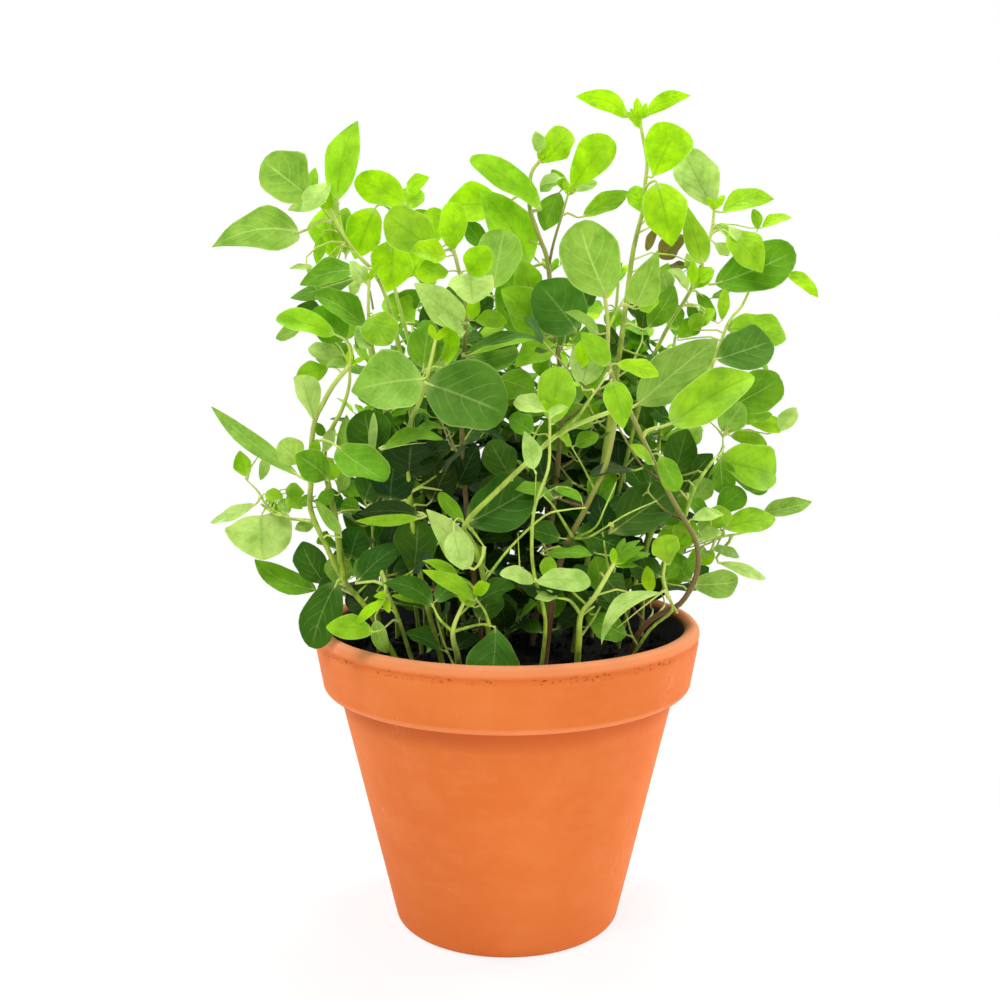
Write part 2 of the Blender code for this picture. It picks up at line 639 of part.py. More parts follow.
    "shoot_front_low": ((1.7, 0.8), [
        [(-17, -53, 112), (-17.5, -59, 121), (-19, -62, 130.5), (-15, -64, 141.5)],
        [(-19, -62, 130.5), (-25.5, -63, 140), (-36, -62, 145)],
        [(-19, -62, 130.5), (-9, -61.5, 133), (-4.5, -59, 131.5)],
        [(-6, -60.5, 132), (-8, -61, 138), (-12, -63, 144)],
    ], [
        ((-17.5, -61, 151), (-29, -64, 156), 8, 45),
        ((-14, -65, 143.5), (-29, -71, 153.5), 11, 40),
        ((-4.5, -58, 130), (-5.5, -61, 113), 15, 15),
        ((-25, -60, 141), (-17, -56, 147), 7, 35),
        ((-10, -54, 133), (-4, -48, 143), 11, 15),
    ]),
}

# The shoots of the far side, which fill the plant out behind: root (x, y) and tip.
BACK_SHOOTS = [
    ((-44, 6), (-56, 22, 230)),
    ((-34, 26), (-47, 47, 232)),
    ((-24, 16), (-32, 34, 250)),
    ((-18, 36), (-22, 60, 224)),
    ((-4, 22), (-8, 46, 256)),
    ((4, 40), (5, 63, 218)),
    ((16, 18), (18, 42, 258)),
    ((24, 38), (30, 58, 226)),
    ((38, 20), (46, 38, 254)),
    ((54, 6), (68, 22, 232)),
    ((42, 34), (60, 48, 218)),
    ((-50, -10), (-56, 0, 200)),
]
BACK_NODES = (0.40, 0.60, 0.80, 1.0)   # where pairs of leaves stand, by height
BACK_LEAF = (27.0, 16.0)                           # length and width of the lowest leaves


def back_route(root, tip):
    """A stem that leaves the soil upright and leans out towards its tip."""
    low = Vector((root[0], root[1], SOIL_TOP + 2))
    high = Vector(tip)
    route = []
    for step in range(6):
        share = step / 5
        lean = share ** 1.6
        route.append(tuple(low + Vector(((high.x - low.x) * lean, (high.y - low.y) * lean,
                                         (high.z - low.z) * share))))
    return route


def back_leaves(route, order):
    """Opposite pairs of leaves, each pair a quarter turn from the one below it."""
    leaves = []
    length, width = BACK_LEAF
    for index, share in enumerate(BACK_NODES):
        place = share * (len(route) - 1)
        low = min(int(place), len(route) - 2)
        node = Vector(route[low]).lerp(Vector(route[low + 1]), place - low)
        size = 1.0 - 0.45 * share
        for side, higher in ((0, 0.0), (171, 1.3)):
            turn = math.radians(37 * order + 86 * index + side)
            outward = Vector((math.cos(turn), math.sin(turn), 0.25 + 0.5 * share))
            outward.normalize()
            base = node + outward * 5 + Vector((0, 0, higher))
            leaves.append((base, base + outward * length * size, width * size, 88))
    return leaves


def all_shoots():
    """Name, radii, stem lines and wished leaves of every shoot."""
    for name, (radii, routes, leaves) in SHOOTS.items():
        lines = [(stem_points(routes[0]), *radii)]
        for branch in routes[1:]:
            thin = radii[1] * 0.85
            lines.append(([Vector(point) for point in branch], thin, thin * 0.8))
        yield name, lines, leaves
    for order, (root, tip) in enumerate(BACK_SHOOTS):
        route = back_route(root, tip)
        name = f"shoot_back_{order + 1:02d}"
        yield name, [(stem_points(route), 1.2, 0.7)], back_leaves(route, order)


def grow_all():
    """Stems first, then every leaf where it is clear of the other shoots."""
    placed = Placed()
    stems = {}
    pot_body = pot()
    for name, lines, leaves in all_shoots():
        mesh = tube_mesh(name, lines)
        bm = bmesh.new()
        bm.from_mesh(mesh)
        hit = placed.meets(name, bm)
        if hit:
            print("stem of", name, "touches", hit)
        placed.add(name, bm)
        bm.free()
        stems[name] = (mesh, lines, leaves)

    ring = bmesh.new()
    ring.from_mesh(as_mesh("pot_guard", pot_body, 1e-6))
    bmesh.ops.scale(ring, vec=(1 / MM, 1 / MM, 1 / MM), verts=ring.verts)
    placed.add("pot", ring)
    ring.free()
    earth = bmesh.new()
    bmesh.ops.create_circle(earth, cap_ends=True, segments=24, radius=wall_inside(SOIL_TOP))
    bmesh.ops.translate(earth, verts=earth.verts, vec=(0, 0, SOIL_TOP + 0.4))
    placed.add("soil", earth)
    earth.free()

    shades = {tone: material("leaf_" + tone, colour, 0.5) for tone, colour in GREENS.items()}
    sockets = []
    for name, (mesh, lines, leaves) in stems.items():
        grown = bmesh.new()
        for leaf in leaves:
            found = place_leaf(placed, name, lines, leaf)
            if found is None:
                print("no room for a leaf of", name, [round(v) for v in leaf[0]])
                continue
            single = leaf_bmesh(lines, *found, 0.0)
            placed.add(name, single)
            piece = bpy.data.meshes.new("leaf")
            single.to_mesh(piece)
            single.free()
            grown.from_mesh(piece)
            bpy.data.meshes.remove(piece)
        bmesh.ops.recalc_face_normals(grown, faces=grown.faces)
        extra = bpy.data.meshes.new(name + "_leaves")
        grown.to_mesh(extra)
        grown.free()
        tone = "dark" if name.startswith("shoot_back") else "mid"
        joined(name, mesh, extra, shades[tone])
        foot, root_radius = lines[0][0][0], lines[0][1]
        sockets.append((foot.x, foot.y, root_radius))
    soil(sockets)


grow_all()
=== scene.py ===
"""Potted greek oregano: the looks of the clay pot, the soil and the leafy shoots.

Lengths are written in millimetres and go into meshes in metres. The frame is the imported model's:
its origin is at the centre of the pot's underside, +Z is up and the fullest side looks along -Y.
"""

import math
import random

import bmesh
import bpy
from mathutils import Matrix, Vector


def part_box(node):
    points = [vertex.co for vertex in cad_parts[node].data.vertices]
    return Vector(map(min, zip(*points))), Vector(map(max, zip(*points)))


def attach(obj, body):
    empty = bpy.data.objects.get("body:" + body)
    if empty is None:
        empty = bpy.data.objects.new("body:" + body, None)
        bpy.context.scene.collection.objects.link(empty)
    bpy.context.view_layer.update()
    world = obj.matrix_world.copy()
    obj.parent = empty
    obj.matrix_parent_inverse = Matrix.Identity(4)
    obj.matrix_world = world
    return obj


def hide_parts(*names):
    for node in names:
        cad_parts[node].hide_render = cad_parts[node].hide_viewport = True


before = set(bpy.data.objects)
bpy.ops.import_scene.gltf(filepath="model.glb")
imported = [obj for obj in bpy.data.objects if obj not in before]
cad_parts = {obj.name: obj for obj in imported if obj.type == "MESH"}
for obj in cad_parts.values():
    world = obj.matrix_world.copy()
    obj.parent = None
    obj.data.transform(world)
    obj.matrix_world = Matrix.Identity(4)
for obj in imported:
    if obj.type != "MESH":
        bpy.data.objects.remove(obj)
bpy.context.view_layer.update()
MM = 0.001


# ---------------------------------------------------------------- camera, floor and light
#
# The plant stands on a pale floor and is looked at from a little above its middle. Large soft
# lamps and an even sky light it, and whatever the camera sees behind it is white.

CAMERA_DISTANCE = 507.0      # from the pot's axis
CAMERA_HEIGHT = 237.0
CAMERA_PITCH = 7.68          # degrees below the horizon
CAMERA_LENS = 46.8
CAMERA_SENSOR = 36.0
CAMERA_SHIFT = -0.007        # the pot stands a little right of the middle
CAMERA_NEAREST = 20.0
FLOOR_RADIUS = 3000.0
FLOOR_SIDES = 64
FLOOR_SHADE_START = 105.0    # from here outwards the shadow on the floor fades,
FLOOR_SHADE_END = 300.0      # and from here on it is gone
FLOOR_WHITEN = 0.78          # how much of that shadow is lifted close to the pot
FLOOR_WHITE = (0.94, 0.94, 0.94, 1.0)
WHITE = (1.0, 1.0, 1.0, 1.0)
SKY_STRENGTH = 0.36
LAMPS_AIM = (0.0, 0.0, 0.17)
LAMPS = [
    # name, place in metres, size in metres, watts
    ("key", (-0.35, -0.70, 1.10), 0.45, 7.5),
    ("fill", (0.80, -0.75, 0.50), 0.60, 3.0),
    ("top", (0.10, 0.20, 1.20), 0.50, 9.0),
    ("left rim", (-1.00, 0.45, 0.55), 0.60, 6.0),
    ("right rim", (1.00, 0.45, 0.55), 0.60, 8.0),
]

scene = bpy.context.scene
scene.view_settings.view_transform = "Standard"

camera = bpy.data.objects.new("camera", bpy.data.cameras.new("camera"))
scene.collection.objects.link(camera)
camera.location = (0.0, -CAMERA_DISTANCE * MM, CAMERA_HEIGHT * MM)
camera.rotation_euler = (math.radians(90 - CAMERA_PITCH), 0.0, 0.0)
camera.data.lens = CAMERA_LENS
camera.data.sensor_width = CAMERA_SENSOR
camera.data.shift_x = CAMERA_SHIFT
camera.data.clip_start = CAMERA_NEAREST * MM
scene.camera = camera

for lamp_name, place, size, watts in LAMPS:
    light = bpy.data.lights.new(lamp_name, "AREA")
    light.size = size
    light.energy = watts
    lamp = bpy.data.objects.new(lamp_name, light)
    lamp.location = place
    toward = Vector(LAMPS_AIM) - lamp.location
    lamp.rotation_euler = toward.to_track_quat("-Z", "Y").to_euler()
    scene.collection.objects.link(lamp)


def sign(operation, swapped=False):
    """What a plain arithmetic sign does between values: it adds a Math node."""
    return lambda self, other: self.math(operation, other, swapped)


class Value:
    """An output of a node. Plain arithmetic on it adds Math nodes to its tree."""

    def __init__(self, tree, socket):
        self.tree = tree
        self.socket = socket

    def math(self, operation, other=None, swapped=False, clamp=False):
        """A Math node of this operation on this value, and on another one where it takes two."""
        made = self.tree.nodes.new("ShaderNodeMath")
        made.operation = operation
        made.use_clamp = clamp
        for socket, item in zip(made.inputs, (other, self) if swapped else (self, other)):
            feed(self.tree, socket, item)
        return Value(self.tree, made.outputs[0])

    __add__, __radd__ = sign("ADD"), sign("ADD", swapped=True)
    __sub__, __rsub__ = sign("SUBTRACT"), sign("SUBTRACT", swapped=True)
    __mul__, __rmul__ = sign("MULTIPLY"), sign("MULTIPLY", swapped=True)
    __truediv__, __pow__ = sign("DIVIDE"), sign("POWER")

    def size(self):
        return self.math("ABSOLUTE")

    def sine(self):
        return self.math("SINE")

    def cosine(self):
        return self.math("COSINE")

    def clamped(self):
        return self.math("ADD", 0.0, clamp=True)

    def step(self, low, high):
        """0 below low, 1 above high and smooth between them. high may be under low."""
        made = self.tree.nodes.new("ShaderNodeMapRange")
        made.interpolation_type = "SMOOTHSTEP"
        feed(self.tree, made.inputs["Value"], self)
        ends = ((low, 0.0), (high, 1.0)) if low <= high else ((high, 1.0), (low, 0.0))
        for label, (start, result) in zip(("Min", "Max"), ends):
            made.inputs["From " + label].default_value = start
            made.inputs["To " + label].default_value = result
        return Value(self.tree, made.outputs[0])

    def band(self, start, full, fading, gone):
        """0 below start, 1 from full to fading, and 0 again from gone on."""
        return self.step(start, full) * self.step(gone, fading)


def feed(tree, socket, item):
    """Links a node's output to an input, or sets the input to a plain value."""
    if isinstance(item, Value):
        tree.links.new(item.socket, socket)
    elif item is not None:
        socket.default_value = item


def node(tree, kind, output=0, settings=None, **inputs):
    """A new node with its settings and inputs (spaces as underscores), as one of its outputs."""
    made = tree.nodes.new(kind)
    for name, value in (settings or {}).items():
        setattr(made, name, value)
    for name, item in inputs.items():
        feed(tree, made.inputs[name.replace("_", " ")], item)
    return Value(tree, made.outputs[output])


def ordered_node(tree, kind, *items, output=0, **settings):
    """A new node fed by position, for the kinds whose inputs share one name."""
    made = node(tree, kind, output, settings)
    for socket, item in zip(made.socket.node.inputs, items):
        feed(tree, socket, item)
    return made


def seen_directly(tree):
    """1 for rays that show a background: from the camera, off gloss and through glass."""
    path = tree.nodes.new("ShaderNodeLightPath")
    rays = [Value(tree, path.outputs[name])
            for name in ("Is Camera Ray", "Is Glossy Ray", "Is Transmission Ray")]
    return (rays[0] + rays[1] + rays[2]).clamped()


def show(tree, share, lit, plain, kind):
    """Ends a tree with a mix: this share of the plain shader, and the lit one for the rest."""
    mixed = ordered_node(tree, "ShaderNodeMixShader", share, lit, plain)
    feed(tree, tree.nodes.new(kind).inputs["Surface"], mixed)


def empty_tree(owner):
    """The node tree of a world or material, with nothing in it."""
    owner.use_nodes = True
    owner.node_tree.nodes.clear()
    return owner.node_tree


scene.world = bpy.data.worlds.new("sky")
sky_tree = empty_tree(scene.world)
show(sky_tree, seen_directly(sky_tree),
     node(sky_tree, "ShaderNodeBackground", Color=WHITE, Strength=SKY_STRENGTH),
     node(sky_tree, "ShaderNodeBackground", Color=WHITE, Strength=1.0), "ShaderNodeOutputWorld")


def floor_material():
    """Matt white that shows shadows near the plant and is plain white further off."""
    made = bpy.data.materials.new("floor_white")
    tree = empty_tree(made)
    place = node(tree, "ShaderNodeTexCoord", output=3)
    from_axis = ordered_node(tree, "ShaderNodeVectorMath", place, output=1, operation="LENGTH")
    far = from_axis.step(FLOOR_SHADE_START * MM, FLOOR_SHADE_END * MM)
    share = (seen_directly(tree) * (FLOOR_WHITEN + (1 - FLOOR_WHITEN) * far)).clamped()
    show(tree, share, node(tree, "ShaderNodeBsdfDiffuse", Color=FLOOR_WHITE),
         node(tree, "ShaderNodeEmission", Color=WHITE, Strength=1.0), "ShaderNodeOutputMaterial")
    return made


bm = bmesh.new()
bmesh.ops.create_circle(bm, cap_ends=True, segments=FLOOR_SIDES, radius=FLOOR_RADIUS * MM)
floor_mesh = bpy.data.meshes.new("floor")
bm.to_mesh(floor_mesh)
bm.free()
floor_mesh.materials.append(floor_material())
floor = bpy.data.objects.new("floor", floor_mesh)
scene.collection.objects.link(floor)


# ---------------------------------------------------------------- the clay pot
#
# A thrown and fired pot of unglazed red clay, one piece with its thick rim band, its rounded lip
# and the hole in its floor. The lip's lower edge is a soft line where the clay has small chips;
# the line carries painted shade, and the lip and the band's lower edge carry painted highlights.

POT_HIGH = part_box("pot")[1]
RIM_RADIUS = POT_HIGH.x / MM
POT_HEIGHT = POT_HIGH.z / MM + 0.01
RIM_LOW_RADIUS = RIM_RADIUS - 3.1
RIM_LOW_Z = 95.6
BAND_CORNER = 3.0                # the round of the rim band's lower edge
BODY_TOP_RADIUS = 66.8
BASE_RADIUS = 44.6
FOOT_CORNER = 2.5
LIP_CORNER = 3.3                 # the round of the lip outside, and the one inside
LIP_INNER_CORNER = 2.9
LIP_INNER_RADIUS = 70.0
LIP_LINE_Z = POT_HEIGHT - 4.6    # the soft line under the lip
KNEE_RADIUS = 62.8               # inside, where the rim band begins
KNEE_Z = 89.6
INNER_FLOOR_RADIUS = 40.1
FLOOR_THICKNESS = 8.0
DRAIN_RADIUS = 7.5
DRAIN_CORNER = 0.8
POT_STEPS = 160
POT_OVAL = 0.0011                # how far the pot is out of true, as shares of its radius
POT_WAVER = 0.0006
OUTER_SKIN = 2.0                 # the wall's outside keeps its colour this deep

# Heights at which the clay's colour changes: where a change starts, is full, fades and is gone.
# The band's lower edge gets a painted highlight, and the groove under the lip painted shade.
BAND_EDGE_HIGHLIGHT = [RIM_LOW_Z + above for above in (-0.4, 0.8, 1.6, 3.0)]
BAND_SHADE = [RIM_LOW_Z + above for above in (-11.0, -1.0, -0.4, 0.0)]
LIP_GROOVE_SHADE = [LIP_LINE_Z + above for above in (-2.6, -0.6, 0.0, 1.4)]
CHIPPED_LINE = [LIP_LINE_Z + above for above in (-2.3, -1.1, 0.2, 1.2)]
# Patterns in the clay, in waves or cells per metre.
CLAY_CLOUDS, CLAY_MOTTLE, CLAY_GRAIN, TURNING_MARKS = 16, 70, 1500, 170
SCUFFS, SCUFF_GRAIN, PALE_DOTS, CHIP_CLUSTERS, CHIP_CELLS = 30, 420, 330, 75, 620


def srgb(red, green, blue, alpha=1.0):
    """A colour written as 0 to 255 on a screen, as the linear colour that materials take."""
    channels = []
    for channel in (red, green, blue):
        share = channel / 255
        channels.append(share / 12.92 if share <= 0.04045 else ((share + 0.055) / 1.055) ** 2.4)
    return (*channels, alpha)


CLAY = srgb(218, 116, 48)
CLAY_LIGHT = srgb(234, 142, 84)
CLAY_DEEP = srgb(206, 98, 32)
CLAY_CHIP = srgb(158, 64, 16)
CLAY_SCUFF = srgb(244, 172, 130)
CLAY_SHADE = srgb(186, 82, 26)
# the colour of the painted highlights on the lip and on the band's lower edge
CLAY_HIGHLIGHT = srgb(240, 164, 118)
CLAY_INSIDE = srgb(6, 4, 3)       # the inside wall, painted nearly black
CLAY_RELIEF = 0.22               # how deep the grain and the chips go


def arc(cx, cz, radius, start, end, steps):
    """Points (x, z) on an arc about (cx, cz), angles in degrees from +x."""
    turns = [math.radians(start + (end - start) * step / (steps - 1)) for step in range(steps)]
    return [(cx + radius * math.cos(turn), cz + radius * math.sin(turn)) for turn in turns]


def straight(first, last, steps):
    """Points between two points, both left out."""
    return [tuple(a + (b - a) * step / steps for a, b in zip(first, last))
            for step in range(1, steps)]


def pot_profile():
    """The pot's section from the lip's top, down the outside, across the base and up inside."""
    line = arc(RIM_RADIUS - LIP_CORNER, POT_HEIGHT - LIP_CORNER, LIP_CORNER, 88, -18, 9)
    line += [(RIM_RADIUS - inwards, LIP_LINE_Z - below)
             for inwards, below in ((0.55, 0.0), (0.45, 0.8), (0.35, 2.2))]
    line += straight(line[-1], (RIM_LOW_RADIUS, RIM_LOW_Z + BAND_CORNER), 6)
    line += arc(RIM_LOW_RADIUS - BAND_CORNER, RIM_LOW_Z + 2.9, BAND_CORNER, 0, -84, 7)
    line += arc(BODY_TOP_RADIUS + 1.0, RIM_LOW_Z - 1.2, 1.2, 100, 172, 4)
    foot = arc(BASE_RADIUS - 1.9, FOOT_CORNER, FOOT_CORNER, -8, -90, 6)
    line += straight(line[-1], foot[0], 14) + foot + [(30.0, 0.0), (12.0, 0.0)]
    line += arc(DRAIN_RADIUS + DRAIN_CORNER, DRAIN_CORNER, DRAIN_CORNER, 270, 180, 3)
    line += [(DRAIN_RADIUS, FLOOR_THICKNESS - 0.6), (DRAIN_RADIUS + 0.6, FLOOR_THICKNESS)]
    line += [(24.0, FLOOR_THICKNESS), (INNER_FLOOR_RADIUS, FLOOR_THICKNESS)]
    knee = (KNEE_RADIUS, KNEE_Z)
    line += straight(line[-1], knee, 8) + [knee]
    lip = arc(LIP_INNER_RADIUS + LIP_INNER_CORNER, POT_HEIGHT - LIP_INNER_CORNER,
              LIP_INNER_CORNER, 176, 92, 6)
    return line + straight(knee, lip[0], 5) + lip


def ring_of(bm, radius, height, steps):
    """A ring of points. Its radius may be a rule of the turn, and its height one of the place."""
    ring = []
    for step in range(steps):
        turn = math.tau * step / steps
        reach = radius(turn) if callable(radius) else radius
        x, y = reach * math.cos(turn), reach * math.sin(turn)
        z = height(x, y) if callable(height) else height
        ring.append(bm.verts.new((x * MM, y * MM, z * MM)))
    return ring


def join_rings(bm, rings):
    """A band of faces from each ring of points to the next."""
    for ring, following in zip(rings, rings[1:]):
        for a in range(len(ring)):
            b = (a + 1) % len(ring)
            bm.faces.new((ring[a], following[a], following[b], ring[b]))


def smooth_piece(bm, name):
    """A smooth-shaded object of what was built, its faces pointing out."""
    bmesh.ops.recalc_face_normals(bm, faces=bm.faces)
    for face in bm.faces:
        face.smooth = True
    mesh = bpy.data.meshes.new(name)
    bm.to_mesh(mesh)
    bm.free()
    made = bpy.data.objects.new(name, mesh)
    scene.collection.objects.link(made)
    return made


def thrown_pot():
    """The section turned about the axis, very slightly out of true as a thrown pot is."""
    bm = bmesh.new()
    rings = []
    for radius, height in pot_profile():
        def reach(turn, radius=radius, height=height):
            wobble = 1 + POT_OVAL * math.sin(2 * turn + 0.6) * (height / POT_HEIGHT)
            wobble += POT_WAVER * math.sin(5 * turn + 0.09 * height)
            return radius * wobble if radius > DRAIN_RADIUS + 1 else radius

        rings.append(ring_of(bm, reach, height, POT_STEPS))
    join_rings(bm, rings + rings[:1])
    return smooth_piece(bm, "clay_pot")


def blend(tree, factor, first, second, way="MIX"):
    """Two colours mixed by a factor."""
    made = tree.nodes.new("ShaderNodeMix")
    made.data_type = "RGBA"
    made.blend_type = way
    for place, item in ((0, factor), (6, first), (7, second)):
        feed(tree, made.inputs[place], item)
    return Value(tree, made.outputs[2])


def painted(tree, colour, *coats):
    """A colour with coats laid over it, each given as its share and its own colour."""
    for share, coat in coats:
        colour = blend(tree, share, colour, coat)
    return colour


def noise(tree, place, scale, detail=3.0, roughness=0.55):
    """Noise over a place, with its scale in waves per metre."""
    return node(tree, "ShaderNodeTexNoise", Vector=place, Scale=scale, Detail=detail,
                Roughness=roughness)


def stretched(tree, place, x, y, z):
    """A place scaled along each axis, for a pattern longer one way than another."""
    return node(tree, "ShaderNodeMapping", Vector=place, Scale=(x, y, z))


def parts_of(tree, vector):
    """The x, y and z of a vector, or the red, green and blue of a colour."""
    split = ordered_node(tree, "ShaderNodeSeparateXYZ", vector)
    return [Value(tree, output) for output in split.socket.node.outputs]


def new_material(name, **plain):
    """A material with one Principled shader: (material, tree, shader, place on the object)."""
    made = bpy.data.materials.new(name)
    made.use_nodes = True
    shader = made.node_tree.nodes["Principled BSDF"]
    for label, value in plain.items():
        shader.inputs[label.replace("_", " ")].default_value = value
    return made, made.node_tree, shader, node(made.node_tree, "ShaderNodeTexCoord", "Object")


def bump(tree, height, depth, strength):
    """A bump of this depth in millimetres where height goes from 0 to 1."""
    return node(tree, "ShaderNodeBump", Height=height, Distance=depth * MM, Strength=strength)


def terracotta():
    """Fired clay: fine grain, soft mottling, turning marks, pale scuffs and chips by the lip."""
    made, tree, shader, place = new_material("terracotta", Specular_IOR_Level=0.28)
    x, y, z = parts_of(tree, place)
    from_axis = (x * x + y * y) ** 0.5 * (1 / MM)
    height = z * (1 / MM)
    clouds = noise(tree, place, CLAY_CLOUDS, 4)
    mottle = noise(tree, stretched(tree, place, 1, 1, 1.6), CLAY_MOTTLE, 5, 0.62)
    grain = noise(tree, place, CLAY_GRAIN, 3, 0.7)
    rings = noise(tree, stretched(tree, place, 3, 3, TURNING_MARKS), 1.0, 3, 0.6)
    scuffs = noise(tree, stretched(tree, place, 1, 1, 0.45), SCUFFS, 4, 0.6).step(0.60, 0.76)
    fine = noise(tree, place, SCUFF_GRAIN, 3, 0.6).step(0.42, 0.66)
    dots = noise(tree, place, PALE_DOTS, 2, 0.5).step(0.755, 0.785)

    clusters = noise(tree, place, CHIP_CLUSTERS, 2, 0.5).step(0.40, 0.54)
    cells = node(tree, "ShaderNodeTexVoronoi", Vector=stretched(tree, place, 1, 1, 1.5),
                 Scale=CHIP_CELLS)
    chance, _, depth = parts_of(tree, Value(tree, cells.socket.node.outputs["Color"]))
    chip = (cells - (0.16 + 0.34 * chance)).step(0.06, -0.06)
    outside = from_axis.step(LIP_INNER_RADIUS + 2.5, LIP_INNER_RADIUS + 3.5)
    chips = chip * chance.step(0.20, 0.24) * clusters * height.band(*CHIPPED_LINE) * outside

    # The inside wall is painted nearly black, from near its floor to just under the lip.
    slope = (BODY_TOP_RADIUS - BASE_RADIUS) / RIM_LOW_Z
    within = from_axis - height * slope - BASE_RADIUS + OUTER_SKIN
    below_band = height.step(RIM_LOW_Z + 0.1, RIM_LOW_Z - 0.1)
    in_band = height.step(RIM_LOW_Z - 0.1, RIM_LOW_Z + 0.1)
    in_collar = from_axis.step(LIP_INNER_RADIUS + 0.6, LIP_INNER_RADIUS - 0.2)
    darkened_inside = within.step(0.3, -0.3) * below_band + in_collar * in_band
    darkened_inside = darkened_inside * height.step(POT_HEIGHT - 1.2, POT_HEIGHT - 2.4) * height.step(2.0, 4.0)

    colour = painted(
        tree, CLAY,
        (0.55 * clouds.step(0.70, 0.32), CLAY_DEEP),
        (0.16 * mottle.step(0.42, 0.72), CLAY_LIGHT),
        (0.05 * rings.step(0.45, 0.7), CLAY_LIGHT),
        (0.16 * grain.step(0.52, 0.72), CLAY_DEEP),
        # painted highlights: the lip's face, its top and the band's lower edge
        (0.34 * height.step(LIP_LINE_Z + 0.4, LIP_LINE_Z + 2.4), CLAY_HIGHLIGHT),
        (0.40 * height.step(POT_HEIGHT - 1.6, POT_HEIGHT - 0.5), CLAY_HIGHLIGHT),
        (0.28 * height.band(*BAND_EDGE_HIGHLIGHT), CLAY_HIGHLIGHT),
        (0.70 * height.band(*BAND_SHADE), CLAY_SHADE),
        # painted shade in the groove under the lip
        (0.45 * height.band(*LIP_GROOVE_SHADE), CLAY_DEEP),
        (0.20 * scuffs * fine, CLAY_SCUFF),
        (0.4 * dots, CLAY_SCUFF),
        ((0.45 + 0.55 * depth) * chips, CLAY_CHIP),
        (darkened_inside, CLAY_INSIDE))
    feed(tree, shader.inputs["Base Color"], colour)
    feed(tree, shader.inputs["Roughness"], 0.74 + 0.16 * grain - 0.08 * mottle)
    relief = 0.45 * grain + 0.12 * rings + 0.5 * mottle - 0.8 * chips - 0.5 * dots
    feed(tree, shader.inputs["Normal"], bump(tree, relief, CLAY_RELIEF, 0.8))
    return made


pot_piece = thrown_pot()
pot_piece.data.materials.append(terracotta())
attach(pot_piece, "root")
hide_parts("pot")


# ---------------------------------------------------------------- the soil
#
# Dark, moist potting soil of peat and bark fills the pot to a finger's breadth under the lip. It
# is loose: an uneven top with crumbs and bits of bark on it, pressed down by the wall.

SOIL_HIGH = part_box("soil")[1]
SOIL_TOP = SOIL_HIGH.z / MM
SOIL_RADIUS = SOIL_HIGH.x / MM
SOIL_HEAVE = 2.2                 # how far the top rises and falls
SOIL_LUMPS = 0.5
SOIL_RINGS = 30
SOIL_STEPS = 96
WALL_DIP = 1.8                   # how far the top sinks at the wall, and how near to it
WALL_REACH = 5.0
CRUMBS = 520
CRUMB_SIZES = (0.5, 0.7, 0.9, 1.3, 1.9)
CRUMB_DENTS = 0.7                # how deep the dents in crumbs and bark are
DENT_WAVES = 420                 # to the metre
BARK_BITS = 130
BARK_LENGTHS = (1.8, 4.2)
SOIL_RELIEF = 1.6

EARTH = srgb(16, 12, 9)
EARTH_DRY = srgb(44, 34, 26)
EARTH_WET = srgb(7, 6, 5)


def soil_height(x, y):
    """The height of the soil's top at a place, in millimetres."""
    waves = math.sin(0.11 * x + 0.7) * math.cos(0.13 * y - 0.4)
    waves += 0.6 * math.sin(0.27 * x - 0.21 * y)
    waves += 0.35 * math.sin(0.55 * x + 0.4 * y + 1.1) * math.sin(0.47 * y - 0.3 * x)
    shrink = math.exp(-max(0.0, SOIL_RADIUS - math.hypot(x, y)) / WALL_REACH)
    return SOIL_TOP + SOIL_HEAVE * 0.5 * waves * (1 - shrink) - WALL_DIP * shrink


def soil_bed():
    """A lumpy top on a plain root ball that fills the pot."""
    draw = random.Random(11)
    bm = bmesh.new()

    def lumpy_height(x, y):
        return soil_height(x, y) + draw.uniform(-SOIL_LUMPS, SOIL_LUMPS)

    rings = []
    for ring in range(1, SOIL_RINGS + 1):
        height = lumpy_height if ring < SOIL_RINGS else soil_height
        rings.append(ring_of(bm, SOIL_RADIUS * ring / SOIL_RINGS, height, SOIL_STEPS))
    middle = bm.verts.new((0, 0, soil_height(0, 0) * MM))
    rings.append(ring_of(bm, KNEE_RADIUS - 0.8, KNEE_Z, SOIL_STEPS))
    rings.append(ring_of(bm, INNER_FLOOR_RADIUS - 0.5, FLOOR_THICKNESS + 0.4, SOIL_STEPS))
    for a in range(SOIL_STEPS):
        bm.faces.new((middle, rings[0][a], rings[0][(a + 1) % SOIL_STEPS]))
    join_rings(bm, rings)
    bm.faces.new(rings[-1])
    return smooth_piece(bm, "soil_bed")


def potting_soil():
    """Nearly black, with paler dry crumbs and a rough, broken surface."""
    made, tree, shader, place = new_material("potting_soil", Roughness=0.92,
                                             Specular_IOR_Level=0.2)
    lumps = noise(tree, place, 260, 5, 0.7)
    dust = noise(tree, place, 1100, 4, 0.7)
    colour = painted(tree, EARTH_WET, (lumps.step(0.36, 0.62), EARTH),
                     (0.6 * dust.step(0.58, 0.72), EARTH_DRY))
    feed(tree, shader.inputs["Base Color"], colour)
    feed(tree, shader.inputs["Normal"], bump(tree, 0.7 * lumps + 0.5 * dust, SOIL_RELIEF, 1.0))
    return made


soil_finish = potting_soil()
soil_piece = soil_bed()
soil_piece.data.materials.append(soil_finish)
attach(soil_piece, "root")
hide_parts("soil")


